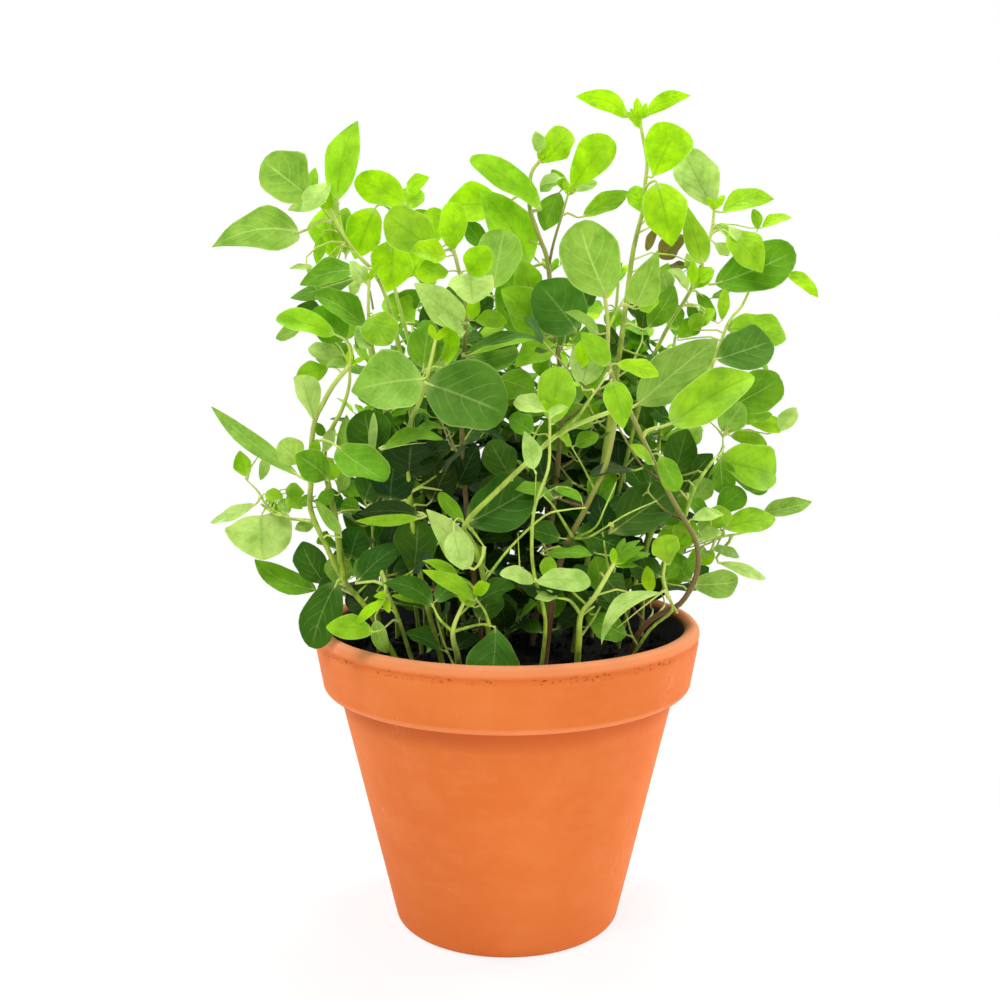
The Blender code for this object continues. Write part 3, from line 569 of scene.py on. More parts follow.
def new_tree(name, **inputs):
    """An empty Geometry Nodes tree with a geometry in and out, and these inputs: kind by name."""
    tree = bpy.data.node_groups.new(name, "GeometryNodeTree")
    tree.is_modifier = True
    for label, kind in {"Geometry": "Geometry", **inputs}.items():
        tree.interface.new_socket(label.replace("_", " "), in_out="INPUT",
                                  socket_type="NodeSocket" + kind)
    tree.interface.new_socket("Geometry", in_out="OUTPUT", socket_type="NodeSocketGeometry")
    entry = tree.nodes.new("NodeGroupInput")
    return tree, {output.name: Value(tree, output) for output in entry.outputs if output.name}


def end_tree(tree, made):
    """Makes the tree give out what was made, with no instances left in it."""
    real = node(tree, "GeometryNodeRealizeInstances", Geometry=made)
    feed(tree, tree.nodes.new("NodeGroupOutput").inputs["Geometry"], real)


def grown(name, carrier, tree, values):
    """A plain object of what the tree makes from a carrier mesh, and nothing of the modifier."""
    seed = bpy.data.objects.new(name + "_carrier", carrier)
    scene.collection.objects.link(seed)
    modifier = seed.modifiers.new("grow", "NODES")
    modifier.node_group = tree
    for item in tree.interface.items_tree:
        if item.in_out == "INPUT" and item.name in values:
            modifier[item.identifier] = values[item.name]
    depsgraph = bpy.context.evaluated_depsgraph_get()
    mesh = bpy.data.meshes.new_from_object(seed.evaluated_get(depsgraph))
    mesh.name = name
    bpy.data.objects.remove(seed, do_unlink=True)
    bpy.data.meshes.remove(carrier)
    made = bpy.data.objects.new(name, mesh)
    scene.collection.objects.link(made)
    return made


def carrier_mesh(name, places, edges=(), **layers):
    """Loose points with named layers of numbers, vectors or colours on them."""
    mesh = bpy.data.meshes.new(name)
    mesh.from_pydata([tuple(place) for place in places], list(edges), [])
    for label, values in layers.items():
        if isinstance(values[0], float):
            mesh.attributes.new(label, "FLOAT", "POINT").data.foreach_set("value", values)
        else:
            flat = [number for value in values for number in value]
            mesh.attributes.new(label, "FLOAT_VECTOR", "POINT").data.foreach_set("vector", flat)
    return mesh


def named(tree, label, kind="FLOAT"):
    """A named layer of the carrier's points, inside a Geometry Nodes tree."""
    return node(tree, "GeometryNodeInputNamedAttribute", settings={"data_type": kind}, Name=label)


def named_vector(tree, label):
    """The same for a layer of vectors."""
    return named(tree, label, "FLOAT_VECTOR")


def scaled(tree, vector, factor):
    """A vector times a number."""
    return node(tree, "ShaderNodeVectorMath", settings={"operation": "SCALE"}, Vector=vector,
                Scale=factor)


def crumbs_tree():
    """Every point becomes a lump: a coarse ball, dented by noise, turned and scaled."""
    tree, given = new_tree("soil_crumbs", Dent="Float", Material="Material")
    lumps = node(tree, "GeometryNodeInstanceOnPoints", Points=given["Geometry"],
                 Instance=node(tree, "GeometryNodeMeshIcoSphere", Radius=1.0, Subdivisions=2),
                 Scale=named_vector(tree, "stretch"), Rotation=named_vector(tree, "turn"))
    real = node(tree, "GeometryNodeRealizeInstances", Geometry=lumps)
    dents = node(tree, "ShaderNodeTexNoise", "Color", Scale=DENT_WAVES, Detail=1.0)
    pushed = ordered_node(tree, "ShaderNodeVectorMath", dents, (0.5, 0.5, 0.5),
                          operation="SUBTRACT")
    dented = node(tree, "GeometryNodeSetPosition", Geometry=real,
                  Offset=scaled(tree, pushed, given["Dent"]))
    flat = node(tree, "GeometryNodeSetShadeSmooth", Geometry=dented, Shade_Smooth=False)
    end_tree(tree, node(tree, "GeometryNodeSetMaterial", Geometry=flat, Material=given["Material"]))
    return tree


def scattered(draw, count, edge):
    """Places spread over the soil's top, this far from its edge."""
    places = []
    while len(places) < count:
        x, y = draw.uniform(-1, 1), draw.uniform(-1, 1)
        if x * x + y * y < 1:
            places.append((x * (SOIL_RADIUS - edge), y * (SOIL_RADIUS - edge)))
    return places


def soil_bits():
    """Crumbs of peat, and longer bits of bark, lying on the soil."""
    draw = random.Random(29)
    places, stretches, turns = [], [], []
    for x, y in scattered(draw, CRUMBS, edge=3.0):
        size = draw.choice(CRUMB_SIZES)
        places.append((x * MM, y * MM, (soil_height(x, y) + 0.4 * size) * MM))
        stretches.append(tuple(size * draw.uniform(0.7, 1.2) * MM for _ in range(3)))
        turns.append(tuple(draw.uniform(0, 6.28) for _ in range(3)))
    for x, y in scattered(draw, BARK_BITS, edge=5.0):
        length = draw.uniform(*BARK_LENGTHS)
        places.append((x * MM, y * MM, (soil_height(x, y) + 0.6) * MM))
        stretches.append((length * MM, length * 0.32 * MM, length * 0.16 * MM))
        turns.append((draw.uniform(-0.4, 0.4), draw.uniform(-0.5, 0.5), draw.uniform(0, 6.28)))
    return carrier_mesh("soil_bits", places, stretch=stretches, turn=turns)


crumbs = grown("soil_crumbs", soil_bits(), crumbs_tree(),
               {"Dent": CRUMB_DENTS * MM, "Material": soil_finish})
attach(crumbs, "root")


# ---------------------------------------------------------------- how a shoot is built
#
# A shoot of oregano is one growth: a squarish, downy stem, side branches, and opposite leaves on
# short stalks that run on as the midrib. Leaves are thin, egg-shaped, folded a little along the
# midrib and wavy at the margin; young ones at the tips are small and yellow-green.

STEM_DEPTH = 11.0                # how deep a stem stands in the soil
STEM_SIDES = 8
STALK_RADIUS = 0.55
STALK_THIN = 0.80                # the stalk's end as a share of its start
STALK_STEPS = 4
STALK_REACH = 6.0                # how far before the blade a stalk turns into the leaf's way
RIB_SHARE = 0.72                 # how far the midrib stands out under the blade
RIB_SUNK = 0.10
COMMON_LENGTH = 24.0             # of a leaf whose stalk has the usual thickness
BLADE_THICKNESS = 0.26
BLADE_STEPS = 13
BLADE_SIDES = 4
MARGIN_WAVE = 0.12               # height of the margin's waves, by half the leaf's width
KEPT_LAYERS = ("tint", "rise", "flush", "vein")              # what the finishes read

# How leaves differ from one another, as the ends between which a number is drawn.
TILT = (-6, 6)                   # degrees
BRIGHTNESS = (-0.08, 0.08)
WARMTH = (-0.03, 0.03)
ARCH = (0.03, 0.08)
ROUND_ROOT, ROUND_POINT = (0.60, 0.75), (0.50, 0.62)
EGG_ROOT = EGG_POINT = (0.65, 1.0)
SWAY = (-0.04, 0.04)
FOLD = (0.16, 0.42)
CUP = (-0.05, 0.16)
TWIST = (-0.5, 0.5)
TIP_CURL = (-0.05, 0.07)
VEIN_SHARE = (0.7, 1.0)
TURN = (0, 6.28)

# Leaf tones: the blade's colour, and how pale the veins are on it. Below 0 they are darker.
# The tones are partly the leaves' own greens and partly painted light and shade: leaves in the
# bush's shade are given the darker tones, deep above all, and leaves turned from the lamps or
# shaded by others the lighter ones.
TONES = {
    "lime": (srgb(184, 226, 0), -0.5),
    "fresh": (srgb(170, 214, 36), -0.35),
    "mid": (srgb(126, 180, 22), 0.7),
    "dark": (srgb(68, 118, 6), 0.5),
    "deep": (srgb(40, 76, 4), 0.3),
    "light": (srgb(204, 228, 132), -0.3),
    "pale": (srgb(158, 196, 78), 1.0),
    "blue": (srgb(94, 148, 38), 0.6),
    "dry": (srgb(150, 138, 72), 0.6),
}
# Outlines, as how slowly a leaf widens from its base and how slowly it narrows to its tip.
OUTLINES = {"egg": (0.70, 0.95), "round": (0.66, 0.52), "wedge": (1.05, 0.48),
            "lance": (0.92, 1.0), "spear": (0.48, 1.15), "blunt": (0.45, 0.62)}


def smooth_line(points, steps=4):
    """A line through every point with no corners, as a Catmull-Rom spline."""
    points = [Vector(point) for point in points]
    if len(points) < 3:
        return [points[0].lerp(points[1], step / steps) for step in range(steps + 1)]
    ends = [2 * points[0] - points[1], *points, 2 * points[-1] - points[-2]]
    line = []
    for a, b, c, d in zip(ends, ends[1:], ends[2:], ends[3:]):
        for step in range(steps):
            t = step / steps
            line.append(0.5 * (2 * b + (c - a) * t + (2 * a - 5 * b + 4 * c - d) * t * t
                               + (3 * b - a - 3 * c + d) * t ** 3))
    return line + [points[-1]]


def square_to(along, look):
    """The part of a direction that stands square to another one."""
    return look - look.dot(along) * along


def leaf_frame(base, tip, face):
    """Along, across and upper-side directions; face 0 shows the upper side to -Y, 90 to +Z."""
    along = (tip - base).normalized()
    turn = math.radians(face)
    upper = square_to(along, Vector((0.0, -math.cos(turn), math.sin(turn))))
    if upper.length < 0.2:
        upper = square_to(along, Vector((0.0, -1.0, 0.3)))
    upper.normalize()
    return along, along.cross(upper), upper


class Shoot:
    """Gathers one shoot's lines and leaves, then grows them into one piece."""

    def __init__(self, name, seed, flush):
        self.name = name
        self.draw = random.Random(seed)
        self.flush = flush       # how brown-red its stems are, 0 to 1
        self.lines = []          # (points, radii, flush) of stems and branches
        self.stalks = []         # the same of the leaf stalks
        self.leaves = []         # the sizes and bends of each leaf, by layer

    def stem(self, route, thick, thin, rooted=True, flush=None):
        """A stem or branch through these points, thick at its start and thin at its end."""
        points = smooth_line(route)
        if rooted:
            points.insert(0, Vector((points[0].x, points[0].y, SOIL_TOP - STEM_DEPTH)))
        last = len(points) - 1
        radii = [thick + (thin - thick) * index / last for index in range(last + 1)]
        self.lines.append((points, radii, self.flush if flush is None else flush))
        return points

    def nearest(self, place):
        """The point of the stems that a leaf at this place grows from, and the way it runs."""
        found = []
        for points, _, _ in self.lines:
            for a, b in zip(points, points[1:]):
                span = b - a
                share = max(0.0, min(1.0, (place - a).dot(span) / span.length_squared))
                spot = a + span * share
                if spot.z >= SOIL_TOP + 1.0:
                    gap = (spot - place).length + 0.35 * abs(spot.z - (place.z - 1.5))
                    found.append((gap, spot, span.normalized()))
        return min(found, key=lambda item: item[0])[1:]

    def leaf(self, base, tip, width, face, tone, outline="", bend=None, stalk=True, age=1.0):
        """A leaf whose blade goes from base to tip, on a stalk from the nearest stem."""
        draw = self.draw.uniform
        base, tip = Vector(base), Vector(tip)
        along, across, upper = leaf_frame(base, tip, face + draw(*TILT))
        length = (tip - base).length
        shade = 1 + draw(*BRIGHTNESS)
        warm = draw(*WARMTH)
        (red, green, blue, _), vein = TONES[tone]
        arch = draw(*ARCH)
        if outline:
            root, point = OUTLINES[outline]
        elif width > 0.8 * length:
            root, point = draw(*ROUND_ROOT), draw(*ROUND_POINT)
        else:
            root, point = draw(*EGG_ROOT), draw(*EGG_POINT)
        if bend is None:
            bend = draw(*SWAY)
        self.leaves.append({
            "place": base, "along": along, "across": across, "upper": upper,
            "length": length * MM, "half": 0.5 * width * MM, "arch": arch,
            "fold": draw(*FOLD) * age, "cup": draw(*CUP), "phase": draw(*TURN),
            "twist": draw(*TWIST) * age, "sway": bend, "root": root, "point": point,
            "tip_curl": draw(*TIP_CURL) * age,
            "tint": (red * shade + warm * 0.5, green * shade, blue * shade),
            "vein": vein * draw(*VEIN_SHARE),
        })
        if stalk:
            self.stalk(base, along, upper, length, arch)

    def stalk(self, base, along, upper, length, arch):
        """The leaf stalk from the stem, bending into the blade and on as its midrib."""
        spot, way = self.nearest(base)
        gap = (base - spot).length
        bend_out = spot + way * 0.30 * gap + (base - spot) * 0.25
        bend_in = base - along * min(0.40 * gap, STALK_REACH)
        radius = STALK_RADIUS * max(0.55, min(1.15, length / COMMON_LENGTH))
        points, radii = [], []
        for step in range(STALK_STEPS + 1):
            t = step / STALK_STEPS
            points.append(spot * (1 - t) ** 3 + bend_out * 3 * t * (1 - t) ** 2
                          + bend_in * 3 * t * t * (1 - t) + base * t ** 3)
            radii.append(radius * (1 + 0.35 * (1 - t) ** 3 - (1 - STALK_THIN) * t))
        for step in range(1, STALK_STEPS + 1):
            u = RIB_SHARE * step / STALK_STEPS
            lift = arch * length * 4 * u * (1 - u) - RIB_SUNK - 0.55 * radius
            points.append(base + along * length * u + upper * lift)
            radii.append(radius * STALK_THIN * (1 - u) * 0.72)
        self.stalks.append((points, radii, self.flush))

    def grow(self):
        """The finished piece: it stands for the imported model's solid of the same shoot."""
        places, edges = [], []
        layers = {"thickness": [], "rise": [], "flush": []}
        for is_stalk, lines in enumerate((self.lines, self.stalks)):
            for points, radii, redness in lines:
                for index, (point, radius) in enumerate(zip(points, radii)):
                    if index:
                        edges.append((len(places) - 1, len(places)))
                    places.append(point * MM)
                    layers["thickness"].append(radius * MM)
                    layers["rise"].append(1.0 if is_stalk else index / len(points))
                    layers["flush"].append(float(redness))
        count = len(places)
        places += [leaf.pop("place") * MM for leaf in self.leaves]
        for values in layers.values():
            values += [0.0] * len(self.leaves)
        layers["leafy"] = [0.0] * count + [1.0] * len(self.leaves)
        for label, value in self.leaves[0].items():
            plain = isinstance(value, (int, float))
            nothing = 0.0 if plain else (0.0, 0.0, 0.0)
            layers[label] = [nothing] * count
            layers[label] += [float(leaf[label]) if plain else tuple(leaf[label])
                              for leaf in self.leaves]
        carrier = carrier_mesh(self.name, places, edges, **layers)
        made = grown(self.name, carrier, leafy_shoot, {
            "Thickness": BLADE_THICKNESS * MM, "Margin Wave": MARGIN_WAVE,
            "Leaf": leaf_finish, "Stem": stem_finish})
        for label in layers:
            if label not in KEPT_LAYERS and label in made.data.attributes:
                made.data.attributes.remove(made.data.attributes[label])
        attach(made, "root")
        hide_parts(self.name)


def total(tree, *vectors):
    """The sum of vectors."""
    found = vectors[0]
    for vector in vectors[1:]:
        found = ordered_node(tree, "ShaderNodeVectorMath", found, vector, operation="ADD")
    return found


def joined(tree, *parts):
    """Several meshes as one."""
    both = tree.nodes.new("GeometryNodeJoinGeometry")
    for part in parts:
        feed(tree, both.inputs[0], part)
    return Value(tree, both.outputs[0])


def blade_template(tree):
    """A flat closed leaf, u from 0 at its base to 1 and v from -1 to 1, with a side layer."""
    flat = node(tree, "GeometryNodeMeshGrid", Size_X=1.0, Size_Y=2.0, Vertices_X=BLADE_STEPS,
                Vertices_Y=BLADE_SIDES + 1)
    x, y, _ = parts_of(tree, node(tree, "GeometryNodeInputPosition"))
    u = 0.35 * (x + 0.5) + 0.65 * (0.5 - 0.5 * ((x + 0.5) * math.pi).cosine())
    inside = (1 - y * y) * 4.0 * u * (1 - u)
    upper, lower = [node(tree, "GeometryNodeSetPosition", Geometry=flat,
                         Position=node(tree, "ShaderNodeCombineXYZ", X=u, Y=y, Z=inside * side))
                    for side in (1.0, -1.0)]
    both = joined(tree, node(tree, "GeometryNodeFlipFaces", Mesh=lower), upper)
    closed = node(tree, "GeometryNodeMergeByDistance", Geometry=both, Distance=0.0001)
    place = node(tree, "GeometryNodeInputPosition")
    at_margin = parts_of(tree, place)[2].size().math("LESS_THAN", 0.0001)
    creased = node(tree, "GeometryNodeSetShadeSmooth", settings={"domain": "EDGE"},
                   Geometry=closed, Selection=at_margin, Shade_Smooth=False)
    return node(tree, "GeometryNodeStoreNamedAttribute", Geometry=creased, Name="blade",
                Value=place, settings={"data_type": "FLOAT_VECTOR", "domain": "POINT"})


def bent_blade(tree, wave, thickness):
    """Where each point of the flat leaf goes, from its leaf's own sizes and bends."""
    u, v, side = parts_of(tree, named_vector(tree, "blade"))
    phase, root, point = [named(tree, label) for label in ("phase", "root", "point")]
    length = named(tree, "length")
    fullness = (u + 0.010) ** root * (1.008 - u) ** point
    spread = root + point
    peak = (root / spread) ** root * (point / spread) ** point
    other_half = v.step(-0.1, 0.1)
    uneven = 1.0 + 0.045 * (u * 10.0 + phase * 2.3 + other_half * 2.6).sine()
    width = named(tree, "half") * uneven * fullness / peak
    middle = 4.0 * u * (1 - u)
    margin = v * v
    ripple = (u * 12.0 + phase + other_half * 2.1).sine() * margin * wave
    ripple = ripple + (u * 6.0 + phase * 1.7 - other_half * 1.3).sine() * margin * wave
    folded = v.size() ** 1.4 * named(tree, "fold") - margin * margin * named(tree, "cup")
    droop = named(tree, "tip_curl") * (u ** 3.0)
    height = length * (named(tree, "arch") * middle - droop) + width * (folded + ripple)
    turn = named(tree, "twist") * (u - 0.15)
    sideways = v * width
    cos_turn, sin_turn = turn.cosine(), turn.sine()
    across_way = sideways * cos_turn - height * sin_turn + length * named(tree, "sway") * middle
    upper_way = height * cos_turn + sideways * sin_turn + side * thickness * 0.5
    ways = (("along", length * u), ("across", across_way), ("upper", upper_way))
    return total(tree, *(scaled(tree, named_vector(tree, way), shift) for way, shift in ways))


def shoot_tree():
    """Edges of the carrier become stems and stalks, and its loose leaf points become blades."""
    tree, given = new_tree("leafy_shoot", Thickness="Float", Margin_Wave="Float",
                           Leaf="Material", Stem="Material")
    points = node(tree, "GeometryNodeSeparateGeometry", settings={"domain": "POINT"},
                  Geometry=given["Geometry"], Selection=named(tree, "leafy").step(0.4, 0.6))
    lines = Value(tree, points.socket.node.outputs[1])

    curve = node(tree, "GeometryNodeMeshToCurve", Mesh=lines)
    section = node(tree, "GeometryNodeCurvePrimitiveCircle", settings={"mode": "RADIUS"},
                   Resolution=STEM_SIDES, Radius=1.0)
    tubes = node(tree, "GeometryNodeCurveToMesh", Curve=curve, Fill_Caps=True,
                 Profile_Curve=section, Scale=named(tree, "thickness"))
    stems = node(tree, "GeometryNodeSetMaterial", Geometry=tubes, Material=given["Stem"])

    seeds = node(tree, "GeometryNodeInstanceOnPoints", Points=points,
                 Instance=blade_template(tree), Scale=(0.0, 0.0, 0.0))
    real = node(tree, "GeometryNodeRealizeInstances", Geometry=seeds)
    bent = bent_blade(tree, given["Margin Wave"], given["Thickness"])
    blades = node(tree, "GeometryNodeSetPosition", Geometry=real, Offset=bent)
    blades = node(tree, "GeometryNodeSetMaterial", Geometry=blades, Material=given["Leaf"])
    both = joined(tree, blades, stems)
    end_tree(tree, node(tree, "GeometryNodeSetShadeSmooth", Geometry=both))
    return tree


def layer(tree, label, output="Fac"):
    """A named layer of the mesh in a material: a number, or its Color or Vector."""
    return node(tree, "ShaderNodeAttribute", output, {"attribute_name": label})


# Patterns on the leaf, in waves or cells per metre, and its veins along a leaf from 0 to 1.
LEAF_PATCHES, LEAF_GRAIN, LEAF_CELLS, VEIN_WOBBLE = 130, 560, 420, 200
SIDE_VEINS = 4.6                 # to each side of the midrib
LEAF_RELIEF = 0.4
VEIN_PALE = srgb(222, 238, 150)
UNDERSIDE = srgb(186, 212, 130)
IN_SHADE = (0.62, 0.74, 0.45, 1.0)       # these three multiply the leaf's own tone: painted shade, painted light, and the colour of the light let through
IN_LIGHT = (1.22, 1.12, 1.6, 1.0)
THROUGH = (1.25, 1.25, 0.35, 1.0)
LIGHT_THROUGH = 0.40             # how much light a blade lets through


def leaf_material():
    """A green blade with a pale midrib, arching side veins, fine netting and soft down."""
    made, tree, shader, place = new_material(
        "oregano_leaf", Specular_IOR_Level=0.24, Sheen_Weight=0.03, Sheen_Roughness=0.45)
    u, v, side = parts_of(tree, layer(tree, "blade", "Vector"))
    tint, strength = layer(tree, "tint", "Color"), layer(tree, "vein")
    away = v.size()
    fullness = (u + 0.02) ** 0.7 * (1.02 - u) ** 0.7 * 2.6
    midrib = (away * fullness).step(0.058, 0.012) * u.step(0.98, 0.72)
    sweep = (u - 0.50 * away ** 1.35 + 0.02 * v) * SIDE_VEINS + 0.35
    wave = (sweep + 0.16 * noise(tree, place, VEIN_WOBBLE, 2)).math("FRACT") - 0.5
    along_vein = away.step(0.92, 0.55) * u.step(0.95, 0.72)
    veins = wave.size().step(0.065, 0.010) * along_vein
    grain = noise(tree, place, LEAF_GRAIN, 2, 0.5)
    netting = node(tree, "ShaderNodeTexVoronoi", settings={"feature": "DISTANCE_TO_EDGE"},
                   Vector=place, Scale=LEAF_CELLS).step(0.10, 0.02)
    patches = noise(tree, place, LEAF_PATCHES, 4, 0.6)
    pale_veins = strength.step(0.0, 0.1) * strength.clamped()
    dark_veins = strength.step(0.0, -0.1)
    paleness = parts_of(tree, tint)[1].step(0.08, 0.45)
    # a painted highlight along the margin of the lighter leaves
    rim = away.step(0.93, 0.985) * u.step(0.0, 0.1) * paleness

    # Painted shade and painted light: a shaded and a lit copy of the tone, laid in soft patches
    # over the blade, the lit one stronger towards the base; the shaded copy also darkens the grain
    # and, on tones that ask for it, the veins.
    deep = blend(tree, 1.0, tint, IN_SHADE, "MULTIPLY")
    bright = blend(tree, 1.0, tint, IN_LIGHT, "MULTIPLY")
    pale = blend(tree, 0.62, tint, VEIN_PALE)
    colour = painted(
        tree, deep,
        (patches.step(0.30, 0.62), tint),
        (0.55 * patches.step(0.52, 0.78) + 0.3 * u.step(0.45, 0.0), bright),
        (0.14 * grain.step(0.45, 0.7), deep),
        (0.14 * netting, bright),
        (0.48 * veins * pale_veins, pale),
        (0.80 * midrib * pale_veins, pale),
        ((0.50 * veins + 0.55 * midrib).clamped() * dark_veins, deep),
        (0.60 * rim, pale),
        (0.40 * u.step(0.16, 0.0), pale))
    under = blend(tree, 0.36, colour, UNDERSIDE)
    colour = blend(tree, side.step(-0.02, 0.02), under, colour)
    feed(tree, shader.inputs["Base Color"], colour)
    feed(tree, shader.inputs["Roughness"], 0.52 + 0.14 * grain - 0.06 * veins)
    quilt = (wave.size() * 2.0).step(0.0, 0.8) * along_vein
    relief = 0.60 * quilt + 0.12 * grain - 0.8 * midrib + 0.4 * patches - 0.10 * netting
    feed(tree, shader.inputs["Normal"], bump(tree, relief, LEAF_RELIEF, 0.40))

    glow = blend(tree, 1.0, colour, THROUGH, "MULTIPLY")
    through = node(tree, "ShaderNodeBsdfTranslucent", Color=glow)
    tree.nodes.remove(tree.nodes["Material Output"])
    show(tree, LIGHT_THROUGH, Value(tree, shader.outputs[0]), through, "ShaderNodeOutputMaterial")
    return made


STEM_GREEN = srgb(170, 202, 50)
STEM_PALE = srgb(216, 230, 118)
STEM_DEEP = srgb(112, 142, 30)
STEM_FLUSH = srgb(104, 68, 40)
STEM_BLOTCHES, STEM_DOWN, STEM_RIDGES = 300, 2600, 160       # waves per metre
STEM_RELIEF = 0.2


def stem_material():
    """Pale yellow-green, ridged along its length, browner low down and on flushed shoots."""
    made, tree, shader, place = new_material(
        "oregano_stem", Roughness=0.55, Specular_IOR_Level=0.35, Sheen_Weight=0.10)
    rise, flush = layer(tree, "rise"), layer(tree, "flush")
    blotch = noise(tree, stretched(tree, place, 1, 1, 0.35), STEM_BLOTCHES, 3, 0.6)
    down = noise(tree, place, STEM_DOWN, 2, 0.6)
    brown = (flush * (1.25 - rise) + 0.4 * (blotch - 0.5) * flush).clamped()
    colour = painted(
        tree, STEM_DEEP,
        (blotch.step(0.35, 0.65), STEM_GREEN),
        (0.65 * rise.step(0.25, 1.0), STEM_PALE),
        (brown, STEM_FLUSH),
        (0.25 * down.step(0.55, 0.7), STEM_PALE))
    feed(tree, shader.inputs["Base Color"], colour)
    ridges = noise(tree, stretched(tree, place, 6, 6, 0.5), STEM_RIDGES, 2, 0.5)
    feed(tree, shader.inputs["Normal"], bump(tree, ridges + 0.3 * down, STEM_RELIEF, 0.7))
    return made


leafy_shoot = shoot_tree()
leaf_finish = leaf_material()
stem_finish = stem_material()


# The inner growth stays inside this outline of the bush: height, left and right, at the axis.
BUSH_OUTLINE = [(108, -48, 50), (130, -52, 54), (150, -50, 58), (175, -54, 64), (200, -54, 64),
                (225, -52, 70), (240, -42, 60), (250, -36, 56), (256, -16, 44)]
# Places where light falls through from front to back: x and height at the axis, and radius.
SEE_THROUGH = [(-57, 231, 5), (-52, 250, 5), (-44, 249, 4), (-26, 238, 3), (-17, 232, 3),
               (22, 221, 4), (11, 212, 3), (-26, 164, 3), (-62, 161, 4), (-60, 145, 4),
               (-50, 140, 3), (-54, 134, 3), (62, 143, 5), (70, 133, 5), (75, 196, 5),
               (81, 197, 4), (88, 245, 7), (70, 246, 5)]
INNER_TOP = 245                  # no side branch of the inner growth starts above this height
INNER_WAY = (15, 165)            # its branches point away from the fullest side, in degrees
INNER_REACH = (14, 34)
INNER_LEAF = 19.0
INNER_TONES = ("mid", "dark", "dark", "mid", "lime")
TWIG_THICK, TWIG_THIN = 0.50, 0.34
SHADED = 196                     # below this height the inside of the bush lies in its own shade, painted with darker tones
SHADE_TONES = ("deep", "dark", "deep", "dark", "deep", "mid")


def across_the_bush(place):
    """x and height that a place has at the axis, seen from the camera's side."""
    away = CAMERA_DISTANCE / (CAMERA_DISTANCE + place.y)
    return place.x * away, CAMERA_HEIGHT + (place.z - CAMERA_HEIGHT) * away


def inside_bush(place, room=0.0):
    """True if inner growth may stand here: inside the outline and clear of the gaps."""
    x, z = across_the_bush(place)
    for (low, *low_sides), (high, *high_sides) in zip(BUSH_OUTLINE, BUSH_OUTLINE[1:]):
        if low <= z <= high:
            share = (z - low) / (high - low)
            left, right = [a + (b - a) * share for a, b in zip(low_sides, high_sides)]
            return left + room < x < right - room and all(
                math.hypot(x - gap_x, z - gap_z) > gap + room for gap_x, gap_z, gap in SEE_THROUGH)
    return False


def on_a_turn(degrees, height=0.0):
    """The level direction on this turn about the axis, with a height added."""
    turn = math.radians(degrees)
    return Vector((math.cos(turn), math.sin(turn), height))


def inner_branch(shoot, start, heading, reach, pairs, size, tones):
    """A thin side branch with opposite pairs of leaves, each pair turned from the last."""
    draw = shoot.draw
    heading = heading.normalized()
    lift = Vector((0.0, 0.0, 0.55))
    middle = start + heading * reach * 0.45 + lift * reach * 0.18
    end = start + heading * reach * 0.85 + lift * reach * 0.75
    if not inside_bush(end, 1.0):
        return
    points = shoot.stem([start, middle, end], TWIG_THICK, TWIG_THIN, rooted=False)
    side_way = heading.cross(Vector((0, 0, 1))).normalized()
    for index in range(pairs):
        share = 0.35 + 0.65 * index / max(1, pairs - 1)
        place = points[round(share * (len(points) - 1))]
        up = (points[-1] - points[0]).normalized()
        other_way = side_way.cross(up)
        turn = math.radians(90 * index + draw.uniform(-25, 25))
        for side in (-1, 1):
            outward = (side_way * math.cos(turn) + other_way * math.sin(turn)) * side
            outward = (outward + up * draw.uniform(0.2, 0.8)).normalized()
            length = size * draw.uniform(0.75, 1.15) * (1.0 - 0.35 * share)
            base = place + outward * draw.uniform(2.0, 4.0)
            tip = base + outward * length
            if inside_bush(tip, 1.5) and inside_bush(base) and tip.z > SOIL_TOP + 3:
                face = draw.uniform(35, 85)
                # painted shade: low in the bush a leaf takes one of the darker tones
                tone = draw.choice(tones if tip.z > SHADED else SHADE_TONES)
                shoot.leaf(base, tip, length * draw.uniform(0.52, 0.72), face, tone)


def inner_growth(shoot, count, high, turns, size, tones):
    """Side branches up the shoot's stem that fill the inside of the bush."""
    draw = shoot.draw
    points = [point for point in shoot.lines[0][0] if SOIL_TOP + 2 < point.z < high]
    for index in range(count if points else 0):
        start = points[int((index + draw.random()) / count * len(points)) % len(points)]
        heading = on_a_turn(draw.uniform(*turns), draw.uniform(0, 0.5))
        inner_branch(shoot, start, heading, draw.uniform(*INNER_REACH), draw.choice((2, 3, 3)),
                     size, tones)


BUD_LEAF = 6.5
BUD_SHAPE = 0.42                 # width by length
BRANCH_THICK, BRANCH_THIN = 0.85, 0.62       # of a side branch, by its stem's thin end
BARE_END = 0.4                   # of a bare side stem, by its start


def bud(shoot, points):
    """The small leaves, still upright, that end a stem or branch."""
    end, way = points[-1], (points[-1] - points[-2]).normalized()
    across = way.cross(Vector((0.0, 1.0, 0.2))).normalized()
    for side, share in ((-1, 1.0), (1, 0.85)):
        outward = (way + across * side * shoot.draw.uniform(0.45, 0.8)).normalized()
        face = shoot.draw.uniform(0, 50)
        shoot.leaf(end - way * 0.5, end + outward * BUD_LEAF * share, BUD_LEAF * BUD_SHAPE, face,
                   "lime", stalk=False, age=0.6)


